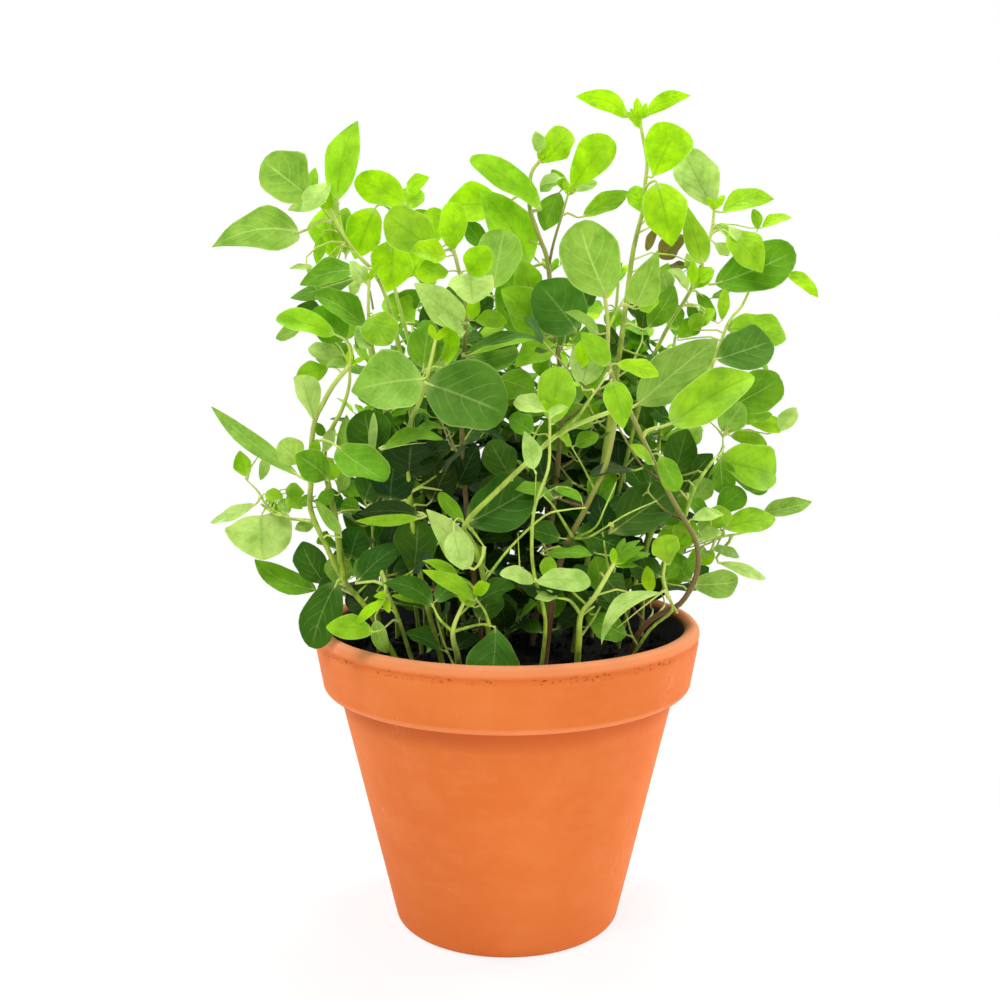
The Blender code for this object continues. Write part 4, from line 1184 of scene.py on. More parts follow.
def raise_shoot(name, seed, flush, radii, routes, leaves, inner=7):
    """A shoot whose lines and leaves are given, with its inner growth behind them.

    A route is a stem's places from its root or fork. One that starts with a pair is a bare side
    stem: the pair is its own flush and thickness. A leaf is its base, tip, width, face and tone,
    and may have an outline and a bend to the side.
    """
    shoot = Shoot(name, seed, flush)
    thick, thin = radii
    for index, route in enumerate(routes):
        if len(route[0]) == 2:
            own_flush, share = route[0]
            shoot.stem(route[1:], thin * share, thin * share * BARE_END, rooted=False,
                       flush=own_flush)
        elif index:
            bud(shoot, shoot.stem(route, thin * BRANCH_THICK, thin * BRANCH_THIN, rooted=False))
        else:
            bud(shoot, shoot.stem(route, thick, thin))
    for leaf in leaves:
        shoot.leaf(*leaf)
    inner_growth(shoot, inner, INNER_TOP, INNER_WAY, INNER_LEAF, INNER_TONES)
    shoot.grow()


# ---------------------------------------------------------------- the left side's shoots
#
# Shoots that lean and arch out over the pot's left rim, with a side branch that carries pale
# drooping leaves, and the upright ones behind them whose tips stand highest on this side.

raise_shoot("shoot_upper_left", 200, 0.12, (0.98, 0.61), [
    [(-25, -6, 112), (-31, -12, 160), (-37, -15, 208), (-42, -16, 236), (-48, -15, 254),
     (-55, -13, 262), (-61, -12, 270), (-66, -12, 280)],
    [(0.3, 0.75), (-50.2, -14, 242.7), (-51.9, -12, 250.6), (-54.8, -12, 254.2)],
    [(0, 0.7), (-59.5, -13, 266.1), (-64, -14, 273.3), (-68.6, -16, 279.8), (-70.6, -16, 281.3)],
    [(0, 0.7), (-60.1, -12, 267.2), (-62.3, -10, 275.6), (-63.5, -8, 282)],
], [
    ((-77.9, -12, 271), (-108.7, -20, 265.5), 17.4, 30, "pale", "spear", 0.09),
    ((-63.6, -10, 283.1), (-55.7, -14, 311.6), 13.1, 20, "fresh", "lance", -0.03),
    ((-73.6, -14, 284.1), (-88.9, -22, 296), 20.1, 30, "pale", "round", -0.03),
    ((-73.8, -8, 283.9), (-72.3, -6, 295.8), 4.4, 30, "fresh"),
    ((-65.8, -12, 289), (-80.8, -18, 278.7), 8.5, 40, "light", "egg", -0.14),
    ((-76, -10, 285.5), (-85.6, -12, 287), 3.4, 40, "light"),
    ((-66.3, 2, 262.1), (-71.6, 8, 281.7), 13.6, 20, "lime"),
    ((-73, -10, 258.2), (-81.1, -14, 257.7), 3.4, 40, "light"),
    ((-53.8, -30, 256.1), (-74.4, -34, 251.4), 9.8, 40, "mid", "egg", 0.08),
    ((-55.5, -22, 254.1), (-79.3, -25, 246.4), 7.4, 140, "mid", "lance", 0.05),
    ((-62.5, 4, 264.2), (-62.7, 6, 282), 9.6, 15, "fresh"),
    ((-74, -20, 258.1), (-65.7, -24, 246.5), 4.8, 40, "pale"),
    ((-66.2, -6, 276.5), (-65.2, -6, 285.9), 4.9, 20, "light"),
    ((-70.2, -6, 270.2), (-72.1, -8, 259.9), 4.5, 20, "fresh"),
    ((-53.8, -16, 253.4), (-58.8, -18, 250.2), 4.6, 35, "light"),
])
raise_shoot("shoot_inner_left", 201, 0.12, (0.9, 0.53), [
    [(-16, 4, 112), (-24, -2, 160), (-32, -4, 205), (-38, -5, 232), (-43, -6, 252), (-45, -5, 266),
     (-43, -4, 281)],
], [
    ((-37.9, -5, 281.7), (-56.5, -10, 290.9), 12.8, 20, "lime", "round", 0.04),
    ((-37.9, -4, 286.5), (-28.9, -8, 291.7), 7.2, 25, "lime", "egg"),
    ((-49.5, -10, 280.1), (-57.8, -6, 261.7), 13.8, 12, "lime", "egg"),
    ((-38.1, 2, 255.1), (-28.3, 6, 268.4), 12.1, 20, "lime"),
    ((-36, 0, 238), (-47, 4, 247), 12, 30, "fresh"),
    ((-43.2, -4, 268.7), (-45.9, -6, 249.2), 15.8, 12, "lime"),
    ((-42.9, -2, 281.7), (-32, 2, 286.9), 9.1, 20, "lime"),
    ((-37.8, 4, 268.2), (-29.3, 6, 280), 13.1, 15, "lime"),
    ((-42.3, 4, 240), (-34.3, 4, 250.1), 9.1, 25, "mid"),
])
raise_shoot("shoot_middle_left", 202, 0.12, (0.9, 0.53), [
    [(-33, -16, 112), (-37, -24, 150), (-42, -31, 190), (-46, -34, 215), (-49, -37, 233),
     (-49.5, -38, 243), (-49, -38, 253)],
], [
    ((-50.9, -38, 236.1), (-66.7, -48, 247.4), 11.6, 30, "mid", "round", 0.04),
    ((-47.5, -40, 240.5), (-41, -48, 230), 13, 30, "fresh"),
    ((-47, -39, 236), (-52, -46, 229), 9, 30, "light"),
    ((-52, -34, 236), (-62, -30, 232), 8, 45, "fresh"),
    ((-50, -38, 252), (-56, -40, 259), 7, 40, "light"),
    ((-46.6, -30, 237.9), (-55, -30, 228.5), 8.5, 30, "pale"),
    ((-53.2, -38, 251.8), (-55, -40, 247.8), 4, 30, "light"),
])
raise_shoot("shoot_arching_left", 203, 0.12, (1.11, 0.87), [
    [(-42, -28, 112), (-51, -34, 131), (-60.5, -36, 144), (-66, -37, 156), (-71.5, -38, 170),
     (-70.9, -40, 180.8), (-70.4, -41, 193.3), (-68.9, -41, 203), (-65.9, -41, 209.1),
     (-61.9, -42, 215.7), (-55.9, -42, 222.8)],
    [(0.12, 1.5), (-60.5, -36, 144), (-63.1, -33, 165), (-66.7, -34, 185.7), (-65.9, -35, 194.4),
     (-63.2, -36, 200.4), (-59.8, -37, 206.4), (-56.8, -39, 214.8), (-55.9, -42, 222.8)],
    [(0.1, 0.8), (-70.5, -38, 166), (-83, -25, 165.5), (-92, -15, 169), (-95.5, -12, 173.5),
     (-100.5, -10, 178)],
    [(0.1, 0.6), (-93.6, -16, 169.2), (-87.2, -22, 166.1), (-79, -30, 165.8), (-71.5, -38, 165.8)],
], [
    ((-60.7, -46, 233.7), (-80.1, -52, 238.8), 9, 25, "fresh", "round", 0.03),
    ((-58, -37, 232), (-68.5, -42, 242.5), 13, 30, "mid"),
    ((-67, -30, 240), (-76, -32, 243.5), 7, 30, "dark"),
    ((-73.7, -34, 235.6), (-83.1, -36, 232.2), 5.6, 40, "pale"),
    ((-64, -40, 221.8), (-74.5, -45, 219), 8.2, 30, "fresh"),
    ((-69.2, -42, 203.1), (-73.2, -48, 219.3), 9.6, 160, "light", "wedge"),
    ((-59, -40, 226.4), (-71.1, -39, 228.2), 7.8, 50, "light"),
    ((-74, -42, 188.5), (-81, -48, 195.5), 10, 25, "light"),
    ((-63.8, -48, 182.7), (-73.4, -56, 192.1), 11.2, 20, "mid"),
    ((-68.6, -43, 191.7), (-67.7, -46, 196.7), 4.1, 20, "fresh"),
    ((-59.5, -50, 194.2), (-42.1, -60, 183), 14.3, 30, "mid", "round", 0.06),
    ((-100.5, -10, 179.2), (-101.7, -14, 189.8), 6.8, 10, "fresh"),
    ((-91, -12, 188.7), (-94.2, -14, 178.1), 4.1, 15, "light"),
    ((-76.8, -30, 181.5), (-111.5, -18, 206.6), 6.8, 25, "pale", "lance", -0.02),
    ((-84.4, -15, 174.9), (-76.2, -20, 174.1), 6.8, 20, "fresh"),
    ((-83.3, -16, 173.1), (-77.6, -21, 168.3), 6.3, 20, "fresh"),
    ((-92.4, -14, 172.8), (-85.2, -18, 171.9), 5.3, 20, "fresh"),
    ((-98, -6, 167.7), (-117.4, 4, 158.3), 7.2, 40, "light", "lance", -0.03),
    ((-93.6, -16, 164.9), (-91.6, -26, 149.7), 24.5, 25, "light", "blunt"),
    ((-71.5, -30, 163.1), (-78.6, -31, 161.9), 5.2, 25, "pale"),
    ((-73.7, -16, 135.7), (-97.8, -10, 146.6), 9.7, 35, "mid", "egg", -0.1),
    ((-69.4, -22, 139.7), (-77.4, -20, 155.5), 12.1, 20, "dark"),
    ((-62.7, -36, 142.8), (-71.4, -43, 119.9), 14.3, 15, "dark", "round", 0.04),
    ((-58, -25, 145.3), (-68.5, -28, 146.3), 11.4, 30, "pale"),
    ((-59.7, -45, 162.3), (-68.4, -48, 175), 4.5, 30, "pale"),
    ((-63.7, -25, 167.6), (-67.6, -24, 177), 7.6, 20, "dark"),
    ((-57.8, -38, 222.7), (-65.2, -38, 222.7), 5.6, 40, "light"),
    ((-64.2, -42, 184.7), (-63.6, -43, 189.6), 4.1, 20, "fresh"),
    ((-86.4, -15, 171), (-82.9, -18, 165.9), 5.3, 20, "light"),
    ((-90.9, -14, 170.9), (-87.5, -16, 164.2), 2.5, 20, "lime"),
    ((-90.9, -14, 170.4), (-85.3, -17, 164.8), 2.3, 20, "lime"),
    ((-55.3, -24, 168.4), (-62.1, -25, 170.7), 6.7, 20, "mid"),
    ((-58.8, -26, 150.2), (-54.9, -27, 161.7), 12.3, 15, "dark"),
    ((-63.8, -24, 141.3), (-72.2, -22, 137.3), 5.7, 20, "dark"),
    ((-46.1, -30, 138.7), (-59.3, -30, 137.3), 6.6, 25, "dark"),
    ((-60.6, -34, 188.5), (-58.2, -35, 204.4), 5.6, 20, "pale"),
    ((-66.1, -38, 191.2), (-62.7, -36, 199.8), 4.6, 20, "light"),
    ((-61.6, -34, 175.4), (-57.8, -34, 186.6), 5.1, 20, "pale"),
    ((-63.2, -32, 180.3), (-52.7, -34, 175), 6.1, 30, "mid"),
    ((-56.9, -34, 144.6), (-50.5, -33, 151.9), 6.5, 20, "mid"),
    ((-56.6, -26, 222.5), (-66, -24, 230.2), 7.7, 25, "mid"),
    ((-57.8, -30, 222.1), (-71.7, -28, 228.2), 6.8, 25, "pale"),
    ((-66.5, -36, 196.9), (-70, -36, 202), 3.7, 25, "mid"),
    ((-66.4, -44, 187.4), (-60.6, -44, 182.9), 5.7, 30, "fresh"),
    ((-68.8, -34, 171.3), (-63.6, -34, 177), 5.2, 30, "mid"),
    ((-70.8, -34, 174.4), (-76.6, -34, 171.3), 4.1, 30, "mid"),
])
raise_shoot("shoot_low_left", 204, 0.12, (0.82, 0.53), [
    [(-34, -42, 112), (-39, -45, 130), (-44, -50, 145), (-44.5, -52, 150), (-43, -54, 146),
     (-43.5, -55, 141)],
], [
    ((-47.4, -58, 129.4), (-62.9, -64, 132.6), 8.9, 30, "fresh"),
    ((-46.6, -56, 133.2), (-42.8, -52, 119.8), 5.8, 15, "pale", "egg"),
    ((-54.1, -46, 145.3), (-36.8, -44, 158.7), 10.5, 15, "dark", "egg", -0.03),
    ((-34.2, -45, 147.7), (-32, -46, 167.4), 15.5, 15, "dark", "wedge"),
    ((-42.3, -56, 142.3), (-46.9, -58, 142.2), 2.8, 40, "lime"),
    ((-43.1, -57, 140.7), (-53.7, -60, 132.2), 3.7, 25, "lime", "lance", 0.04),
    ((-47.6, -34, 133), (-59.8, -32, 137.6), 12.6, 15, "deep"),
    ((-46.7, -36, 141.4), (-41.5, -34, 146.8), 5.8, 20, "deep"),
], inner=2)


# ---------------------------------------------------------------- the shoots in the middle
#
# Upright shoots with the largest, rounder leaves in front, a flushed brown stem that forks, and
# the long bare stem that slants across the front from the low left.

raise_shoot("shoot_round_leaved", 300, 0.12, (1.07, 0.61), [
    [(-24, -36, 112), (-32, -44, 150), (-35, -49, 185), (-34, -53, 202), (-30, -57, 211),
     (-27.5, -58, 219), (-24.5, -57, 232)],
], [
    ((-29, -61, 218.5), (-52.5, -68, 214.7), 20.9, 12, "pale", "egg", 0.02),
    ((-27.4, -62, 217.1), (-0.4, -68, 206.9), 24, 15, "blue", "round"),
    ((-29, -54, 222), (-26.5, -48, 238), 13, 15, "mid"),
    ((-21, -54, 223), (-20.5, -50, 237), 7, 20, "lime"),
    ((-47.3, -46, 191.5), (-50.2, -48, 207.1), 15.9, 15, "dark"),
    ((-34.6, -48, 182.8), (-33.3, -54, 196.7), 19.7, 35, "deep", "wedge"),
    ((-32, -50, 190), (-20, -55, 194), 11, 30, "deep"),
    ((-30.2, -56, 170.6), (-51.1, -64, 172.6), 7.9, 30, "deep", "lance", 0.05),
    ((-30, -60, 170.3), (-52.2, -66, 170.4), 4, 20, "fresh", "lance", -0.02),
    ((-47.5, -49, 190.9), (-46.9, -50, 206.4), 3.1, 20, "light"),
    ((-41.8, -46, 174.3), (-38.5, -48, 191.7), 17.2, 20, "deep"),
    ((-44.3, -44, 191.3), (-42.4, -45, 206.5), 7.3, 15, "dark"),
    ((-27.6, -40, 173.4), (-20.2, -42, 188.4), 12.9, 15, "deep"),
    ((-18.4, -40, 179), (-11, -42, 193.9), 11.9, 15, "deep"),
    ((-51.6, -40, 173.4), (-45.9, -42, 186.6), 11, 15, "dark"),
    ((-43.5, -58, 194.1), (-21.5, -62, 196.9), 8.1, 40, "mid", "lance", -0.12),
], inner=4)
raise_shoot("shoot_centre_left", 301, 0.9, (0.98, 0.61), [
    [(-9, -22, 112), (-13, -32, 150), (-16, -41, 190), (-15.5, -46, 222), (-14.5, -49, 234),
     (-14.5, -50, 246), (-17, -51, 257), (-18.5, -52, 263)],
], [
    ((-18.7, -50, 263.6), (-18.8, -48, 278.9), 9.9, 10, "lime", "round"),
    ((-25.1, -44, 263), (-42.4, -40, 276.1), 15.1, 20, "fresh", "round"),
    ((-21, -54, 260.2), (-33, -58, 261.4), 9.3, 30, "lime"),
    ((-20.2, -52, 255.2), (-31.1, -56, 253), 8.9, 35, "lime"),
    ((-13.3, -56, 254.3), (-6.6, -64, 262.8), 10.1, 20, "lime"),
    ((-4.9, -48, 249.8), (-0.8, -44, 269.7), 15.5, 15, "pale", "round"),
    ((-12.9, -56, 254.3), (-11.5, -66, 244), 15.4, 20, "light", "round"),
    ((-15.2, -53, 237.9), (-31.7, -60, 250.9), 11.6, 20, "light", "egg", -0.04),
    ((-15, -52, 235), (-24, -62, 239.5), 8, 35, "light"),
    ((-12.5, -52, 239), (-10, -54, 246), 5, 20, "lime"),
    ((-11, -52, 238.5), (0, -54, 238), 7, 35, "fresh"),
    ((-14.9, -48, 226.9), (12, -56, 232.6), 7.8, 40, "blue", "lance", -0.04),
    ((-12.5, -43, 223.5), (4, -50, 227.5), 11.4, 25, "pale", "round"),
    ((-3, -34, 217.5), (9.5, -36, 212.5), 12, 20, "mid"),
    ((-25, -38, 265.7), (-26.5, -36, 278.3), 9.3, 15, "lime"),
    ((-14.3, -52, 226), (10.5, -58, 231.9), 5.4, 60, "fresh", "lance", -0.03),
])
raise_shoot("shoot_centre", 302, 0.75, (1.07, 0.68), [
    [(10, -4, 112), (17, -12, 160), (20.5, -14, 200), (20, -15, 221), (18, -14, 232),
     (15.5, -12, 258.9), (12.6, -12, 268.2), (9.8, -13, 275.4), (8.3, -13, 281.6),
     (8.9, -14, 292.2), (12.3, -14, 297.3)],
    [(15.5, -12, 257.7), (17.4, -12, 267.2), (20.5, -12, 277.5), (22.8, -12, 285.2)],
], [
    ((12.6, -13, 279.7), (-13.4, -20, 297.3), 10.3, 30, "fresh", "round", 0.03),
    ((13.3, -13, 296.4), (23.2, -16, 307.3), 13.1, 25, "lime", "wedge", 0.05),
    ((12.9, -14, 299.7), (10.2, -18, 307.1), 5.3, 35, "light"),
    ((23.7, -12, 286.5), (38.1, -18, 304.7), 14, 20, "lime", "wedge", -0.02),
    ((22.9, -11, 285.8), (16.6, -10, 294.4), 4.6, 25, "fresh"),
    ((20, -14, 291), (12, -18, 288), 5, 40, "light"),
    ((19.7, -7, 286.3), (14, -9, 271.9), 9.8, 20, "mid"),
    ((25.3, -14, 285.9), (33.4, -16, 289), 4.4, 30, "light"),
    ((29, -6, 277.5), (46.1, -4, 286.9), 8.4, 40, "fresh"),
    ((8.3, -6, 260), (-9.7, -8, 287), 16.9, 12, "fresh", "egg", 0.05),
    ((-3, 8, 283.2), (-24.1, 12, 282.6), 15.8, 20, "lime"),
    ((9.8, -8, 246.8), (5.4, -10, 261.3), 10.8, 20, "fresh"),
    ((13.5, -16, 232.5), (-2, -22, 250), 17, 20, "fresh"),
    ((9, -9, 240), (5, -7, 258), 11, 20, "mid"),
    ((25.5, -21, 235), (11.5, -30, 252), 21, 15, "blue"),
    ((17.5, -19, 229.5), (3, -25, 222), 11, 35, "fresh"),
    ((4, 6, 233), (5.1, 6, 263.3), 18.2, 15, "mid"),
    ((19, -8, 291.1), (12.6, -8, 286.5), 5.9, 30, "pale"),
    ((29.8, -20, 250.3), (21, -24, 248.9), 4.3, 30, "light"),
    ((-8.9, 12, 266.5), (-17.2, 12, 277.6), 7.9, 20, "mid"),
])
raise_shoot("shoot_diagonal", 303, 0.12, (1.02, 0.8), [
    [(-6, -44, 112), (-8, -50, 145), (-12, -57, 161), (-14.8, -60, 167.8), (-3.5, -60, 179.8),
     (7.2, -60, 190.1), (16.6, -59, 198.7), (26.2, -57, 203.5), (35.7, -54, 206.8)],
    [(0, 0.8), (-12.4, -59, 166.3), (-7.9, -62, 160.6)],
    [(0, 0.85), (16.6, -59, 198.7), (24, -61, 205.3), (28.3, -62, 211.6), (35.6, -62, 221.9)],
    [(0, 0.7), (7.7, -59, 195.4), (12, -60, 204.2)],
], [
    ((-13.7, -56, 168.3), (9.3, -50, 179.9), 19.5, 15, "dark", "round"),
    ((-13, -66, 154), (-26.5, -74, 175.2), 10.3, 30, "light", "egg"),
    ((-15.2, -60, 169.1), (-23.6, -60, 179.2), 5.1, 20, "mid", "round"),
    ((26, -54, 216), (29.5, -54, 234), 12, 10, "light"),
    ((1, -50, 184), (-6, -46, 196), 12, 25, "dark"),
    ((-17.9, -75, 168), (-14.7, -78, 155.4), 8.7, 25, "light", "egg"),
], inner=0)
raise_shoot("shoot_slender", 304, 0.12, (0.74, 0.46), [
    [(12, -52, 112), (13.5, -60, 134), (9.5, -66, 151), (8.5, -66, 161.5), (9.5, -66, 175),
     (14, -66, 188), (14.5, -66, 199), (14.5, -66, 207)],
    [(0, 0.7), (9.5, -66, 176.4), (12.4, -66, 179.3), (18.2, -65, 182.1), (24.6, -63, 179.4),
     (26.3, -62, 174.9)],
    [(0, 0.8), (9.4, -66, 174.9), (9.9, -67, 186.7)],
    [(0, 0.7), (4.5, -58, 151.8), (3.8, -57, 164.7)],
], [
    ((16.2, -63, 204), (17.8, -60, 222.9), 12.9, 5, "fresh", "round"),
    ((13, -68, 208), (2, -74, 210.8), 7.3, 45, "light", "round", 0.05),
    ((14.1, -68, 206.1), (20.4, -72, 209.7), 4.3, 45, "light", "egg"),
    ((9, -60, 200), (1, -58, 205.5), 8, 25, "mid"),
    ((8.9, -68, 149.3), (-2, -74, 153.6), 6.1, 35, "light", "round", 0.03),
    ((10.5, -68, 149.5), (28.4, -76, 149.9), 8.7, 35, "light", "round", -0.05),
    ((13.1, -63, 150.3), (15.2, -62, 157), 5.7, 20, "fresh"),
    ((16.8, -63, 180.6), (25.6, -67, 176.8), 4.2, 40, "mid", "egg", -0.12),
    ((9.1, -66, 188.3), (5.9, -68, 201.3), 6.5, 20, "light", "egg"),
], inner=0)
raise_shoot("shoot_front_brown", 305, 0.9, (1.23, 0.84), [
    [(14, -36, 112), (17, -42, 140), (20, -46, 155), (22.5, -49, 162), (27, -50, 170.5),
     (31, -50, 179), (35, -50, 188), (37.5, -50, 200), (38.5, -51, 209)],
    [(0.2, 0.6), (31, -50, 179), (27, -52, 187), (23, -53, 194)],
    [(0.1, 0.75), (23.4, -50, 162), (16.6, -56, 173.5), (12.4, -60, 178.5)],
    [(0, 0.6), (23.9, -50, 161.5), (28.6, -56, 163), (34.5, -56, 166.5), (42.6, -53, 170.9),
     (53.5, -48, 174.9)],
    [(0, 0.6), (24.9, -50, 162), (31, -56, 166.5), (34.3, -57, 173.7), (38.1, -57, 182.6)],
], [
    ((37.8, -46, 163.3), (59.7, -38, 176.9), 17.4, 20, "dark", "round"),
    ((31, -47, 171), (37, -44, 187), 10, 15, "mid"),
    ((13, -58, 157), (29.5, -63, 158), 8, 60, "mid"),
    ((22.5, -53, 195), (17.5, -56, 199), 5, 30, "fresh"),
    ((24, -52, 195), (32, -54, 199), 6, 30, "mid"),
    ((24, -44, 163), (42, -40, 156), 13, 30, "dark"),
    ((19, -52, 162), (7, -55, 166), 9, 30, "dark"),
], inner=3)


# ---------------------------------------------------------------- the right side's shoots
#
# The tallest shoot and its neighbours, and the one that hangs out over the rim and turns up
# again, with leaves that trail to the right.

raise_shoot("shoot_tallest", 400, 0.3, (1.15, 0.61), [
    [(26, -12, 112), (33, -14, 160), (40, -14, 208), (44, -12, 238), (47, -9, 261), (49, -8, 271),
     (51.5, -7, 281), (52, -7, 290), (52.5, -7, 298), (50.5, -7, 308), (49.7, -7, 313)],
], [
    ((45.2, -7, 314), (25.4, -11, 320.5), 7.7, 6, "lime", "egg", 0.12),
    ((49.1, -7, 310.2), (48.4, -7, 320.8), 3.5, 20, "lime"),
    ((51.6, -7, 313.8), (68.2, -9, 321.2), 6, 6, "lime", "lance", -0.14),
    ((54.6, -9, 291.9), (63.2, -14, 309.5), 17.7, 15, "lime", "wedge", -0.02),
    ((56.1, -11, 289.1), (61.3, -16, 266.1), 16.5, 15, "lime", "egg"),
    ((51.6, -4, 279.2), (48.3, 0, 289.2), 8, 20, "lime"),
    ((68.3, 2, 271.1), (59.1, 5, 262.8), 9.1, 30, "dry"),
    ((70.6, 4, 259.5), (61.4, 5, 258.2), 4.5, 40, "dry"),
    ((60.1, -16, 249), (57.8, -15, 257.9), 6.8, 20, "pale"),
    ((53, -16, 236), (62.5, -18, 251), 10, 20, "mid"),
    ((49, -20, 243), (56, -23, 246), 8, 30, "fresh"),
    ((58, 4, 274.8), (54.2, 4, 265.2), 3.6, 30, "dry"),
    ((70, 4, 258.2), (69.5, 4, 264.5), 3.6, 30, "light"),
    ((57.1, -8, 246.8), (60.8, -10, 260), 8.8, 20, "fresh"),
    ((49.5, -7, 310), (44.5, -10, 315.2), 3.3, 30, "lime"),
    ((34.3, -2, 143.5), (44.6, 2, 147.3), 10.1, 20, "deep"),
])
raise_shoot("shoot_upper_right", 401, 0.12, (0.9, 0.61), [
    [(34, 6, 112), (38, 3, 145), (46, -2, 182), (54, -5, 218), (61, -5, 235), (68.5, -4, 247),
     (73, -2, 256), (77, 0, 267), (79, 2, 275), (79.5, 2, 281)],
], [
    ((82.8, 2, 279.8), (101.9, 0, 284.3), 9.6, 35, "fresh", "egg", -0.12),
    ((98, 3, 273.9), (109.8, 4, 277.5), 5.6, 35, "lime", "lance", -0.1),
    ((84.5, -3, 271.4), (96.4, -9, 256.6), 12.6, 20, "fresh", "egg", -0.08),
    ((80, 0, 275), (86, -2, 269), 5, 35, "light"),
    ((81.3, 5, 252.7), (110.5, 0, 265), 18.6, 20, "mid", "round", 0.03),
    ((79.1, 4, 282.3), (68.7, 8, 303.8), 15.7, 15, "light", "round", -0.03),
    ((78.8, 5, 282.9), (73.4, 8, 293.6), 7.6, 25, "mid"),
    ((74.4, -5, 260.3), (65.2, -7, 284.6), 9, 15, "fresh", "spear"),
    ((68.5, -7, 250), (60, -13, 257), 8, 45, "light"),
    ((71, 0, 250.5), (80, 2, 258), 7, 40, "lime"),
    ((83.3, 1, 238.6), (83.5, -2, 250.6), 4.8, 15, "fresh"),
    ((73.4, 3, 249.4), (80.5, 0, 238.3), 5.5, 25, "mid"),
    ((96.4, 2, 273.1), (94.4, 2, 281), 4.4, 20, "fresh"),
    ((79.8, 2, 268.1), (85.6, 2, 263.4), 5, 25, "light"),
    ((70, 0, 245), (73.5, 0, 236.3), 4.4, 20, "mid"),
    ((70.7, -6, 251.8), (70.7, -6, 261.2), 4.3, 20, "lime"),
    ((72.4, -4, 252.9), (78.5, -3, 258.4), 6, 30, "lime"),
    ((79.6, 4, 247.1), (87, 6, 249.9), 3.4, 40, "pale"),
    ((75.7, -2, 241), (70.7, -2, 234.5), 6, 20, "fresh"),
    ((66, 0, 236), (63, 0, 247), 7, 20, "mid"),
    ((84.3, -4, 273.7), (88.1, -5, 268.2), 4.5, 25, "light"),
])
raise_shoot("shoot_right_side", 402, 0.12, (0.9, 0.53), [
    [(44, -6, 112), (54, -8, 150), (65, -10, 180), (72, -10, 200), (76, -10, 215), (81, -6, 228),
     (86, 0, 238.5), (91.5, 4, 244.5), (95.5, 6, 253)],
], [
    ((78, -21, 224.3), (99.3, -14, 230.3), 17.3, 20, "blue", "round"),
    ((85, 0, 235.9), (108.4, 4, 231.9), 14.9, 25, "fresh", "round"),
    ((84.9, -12, 205.8), (103.9, -10, 216.9), 16.1, 20, "mid", "round"),
    ((106.8, 2, 256.8), (119.1, -4, 247.4), 6.5, 35, "lime", "lance", -0.06),
    ((63.2, 2, 198.9), (55.4, 8, 206.5), 7.1, 25, "dark"),
    ((62, -2, 172), (74, 6, 182), 12, 30, "dark"),
    ((95.1, -10, 223.6), (100.1, -8, 219.3), 2.4, 20, "light"),
    ((72.7, -2, 236), (80, 0, 243), 6, 30, "fresh"),
    ((66, 0, 232), (75.3, 2, 238.5), 8, 30, "fresh"),
    ((56.6, -2, 134.4), (50.3, 2, 138.2), 7.8, 20, "deep"),
])
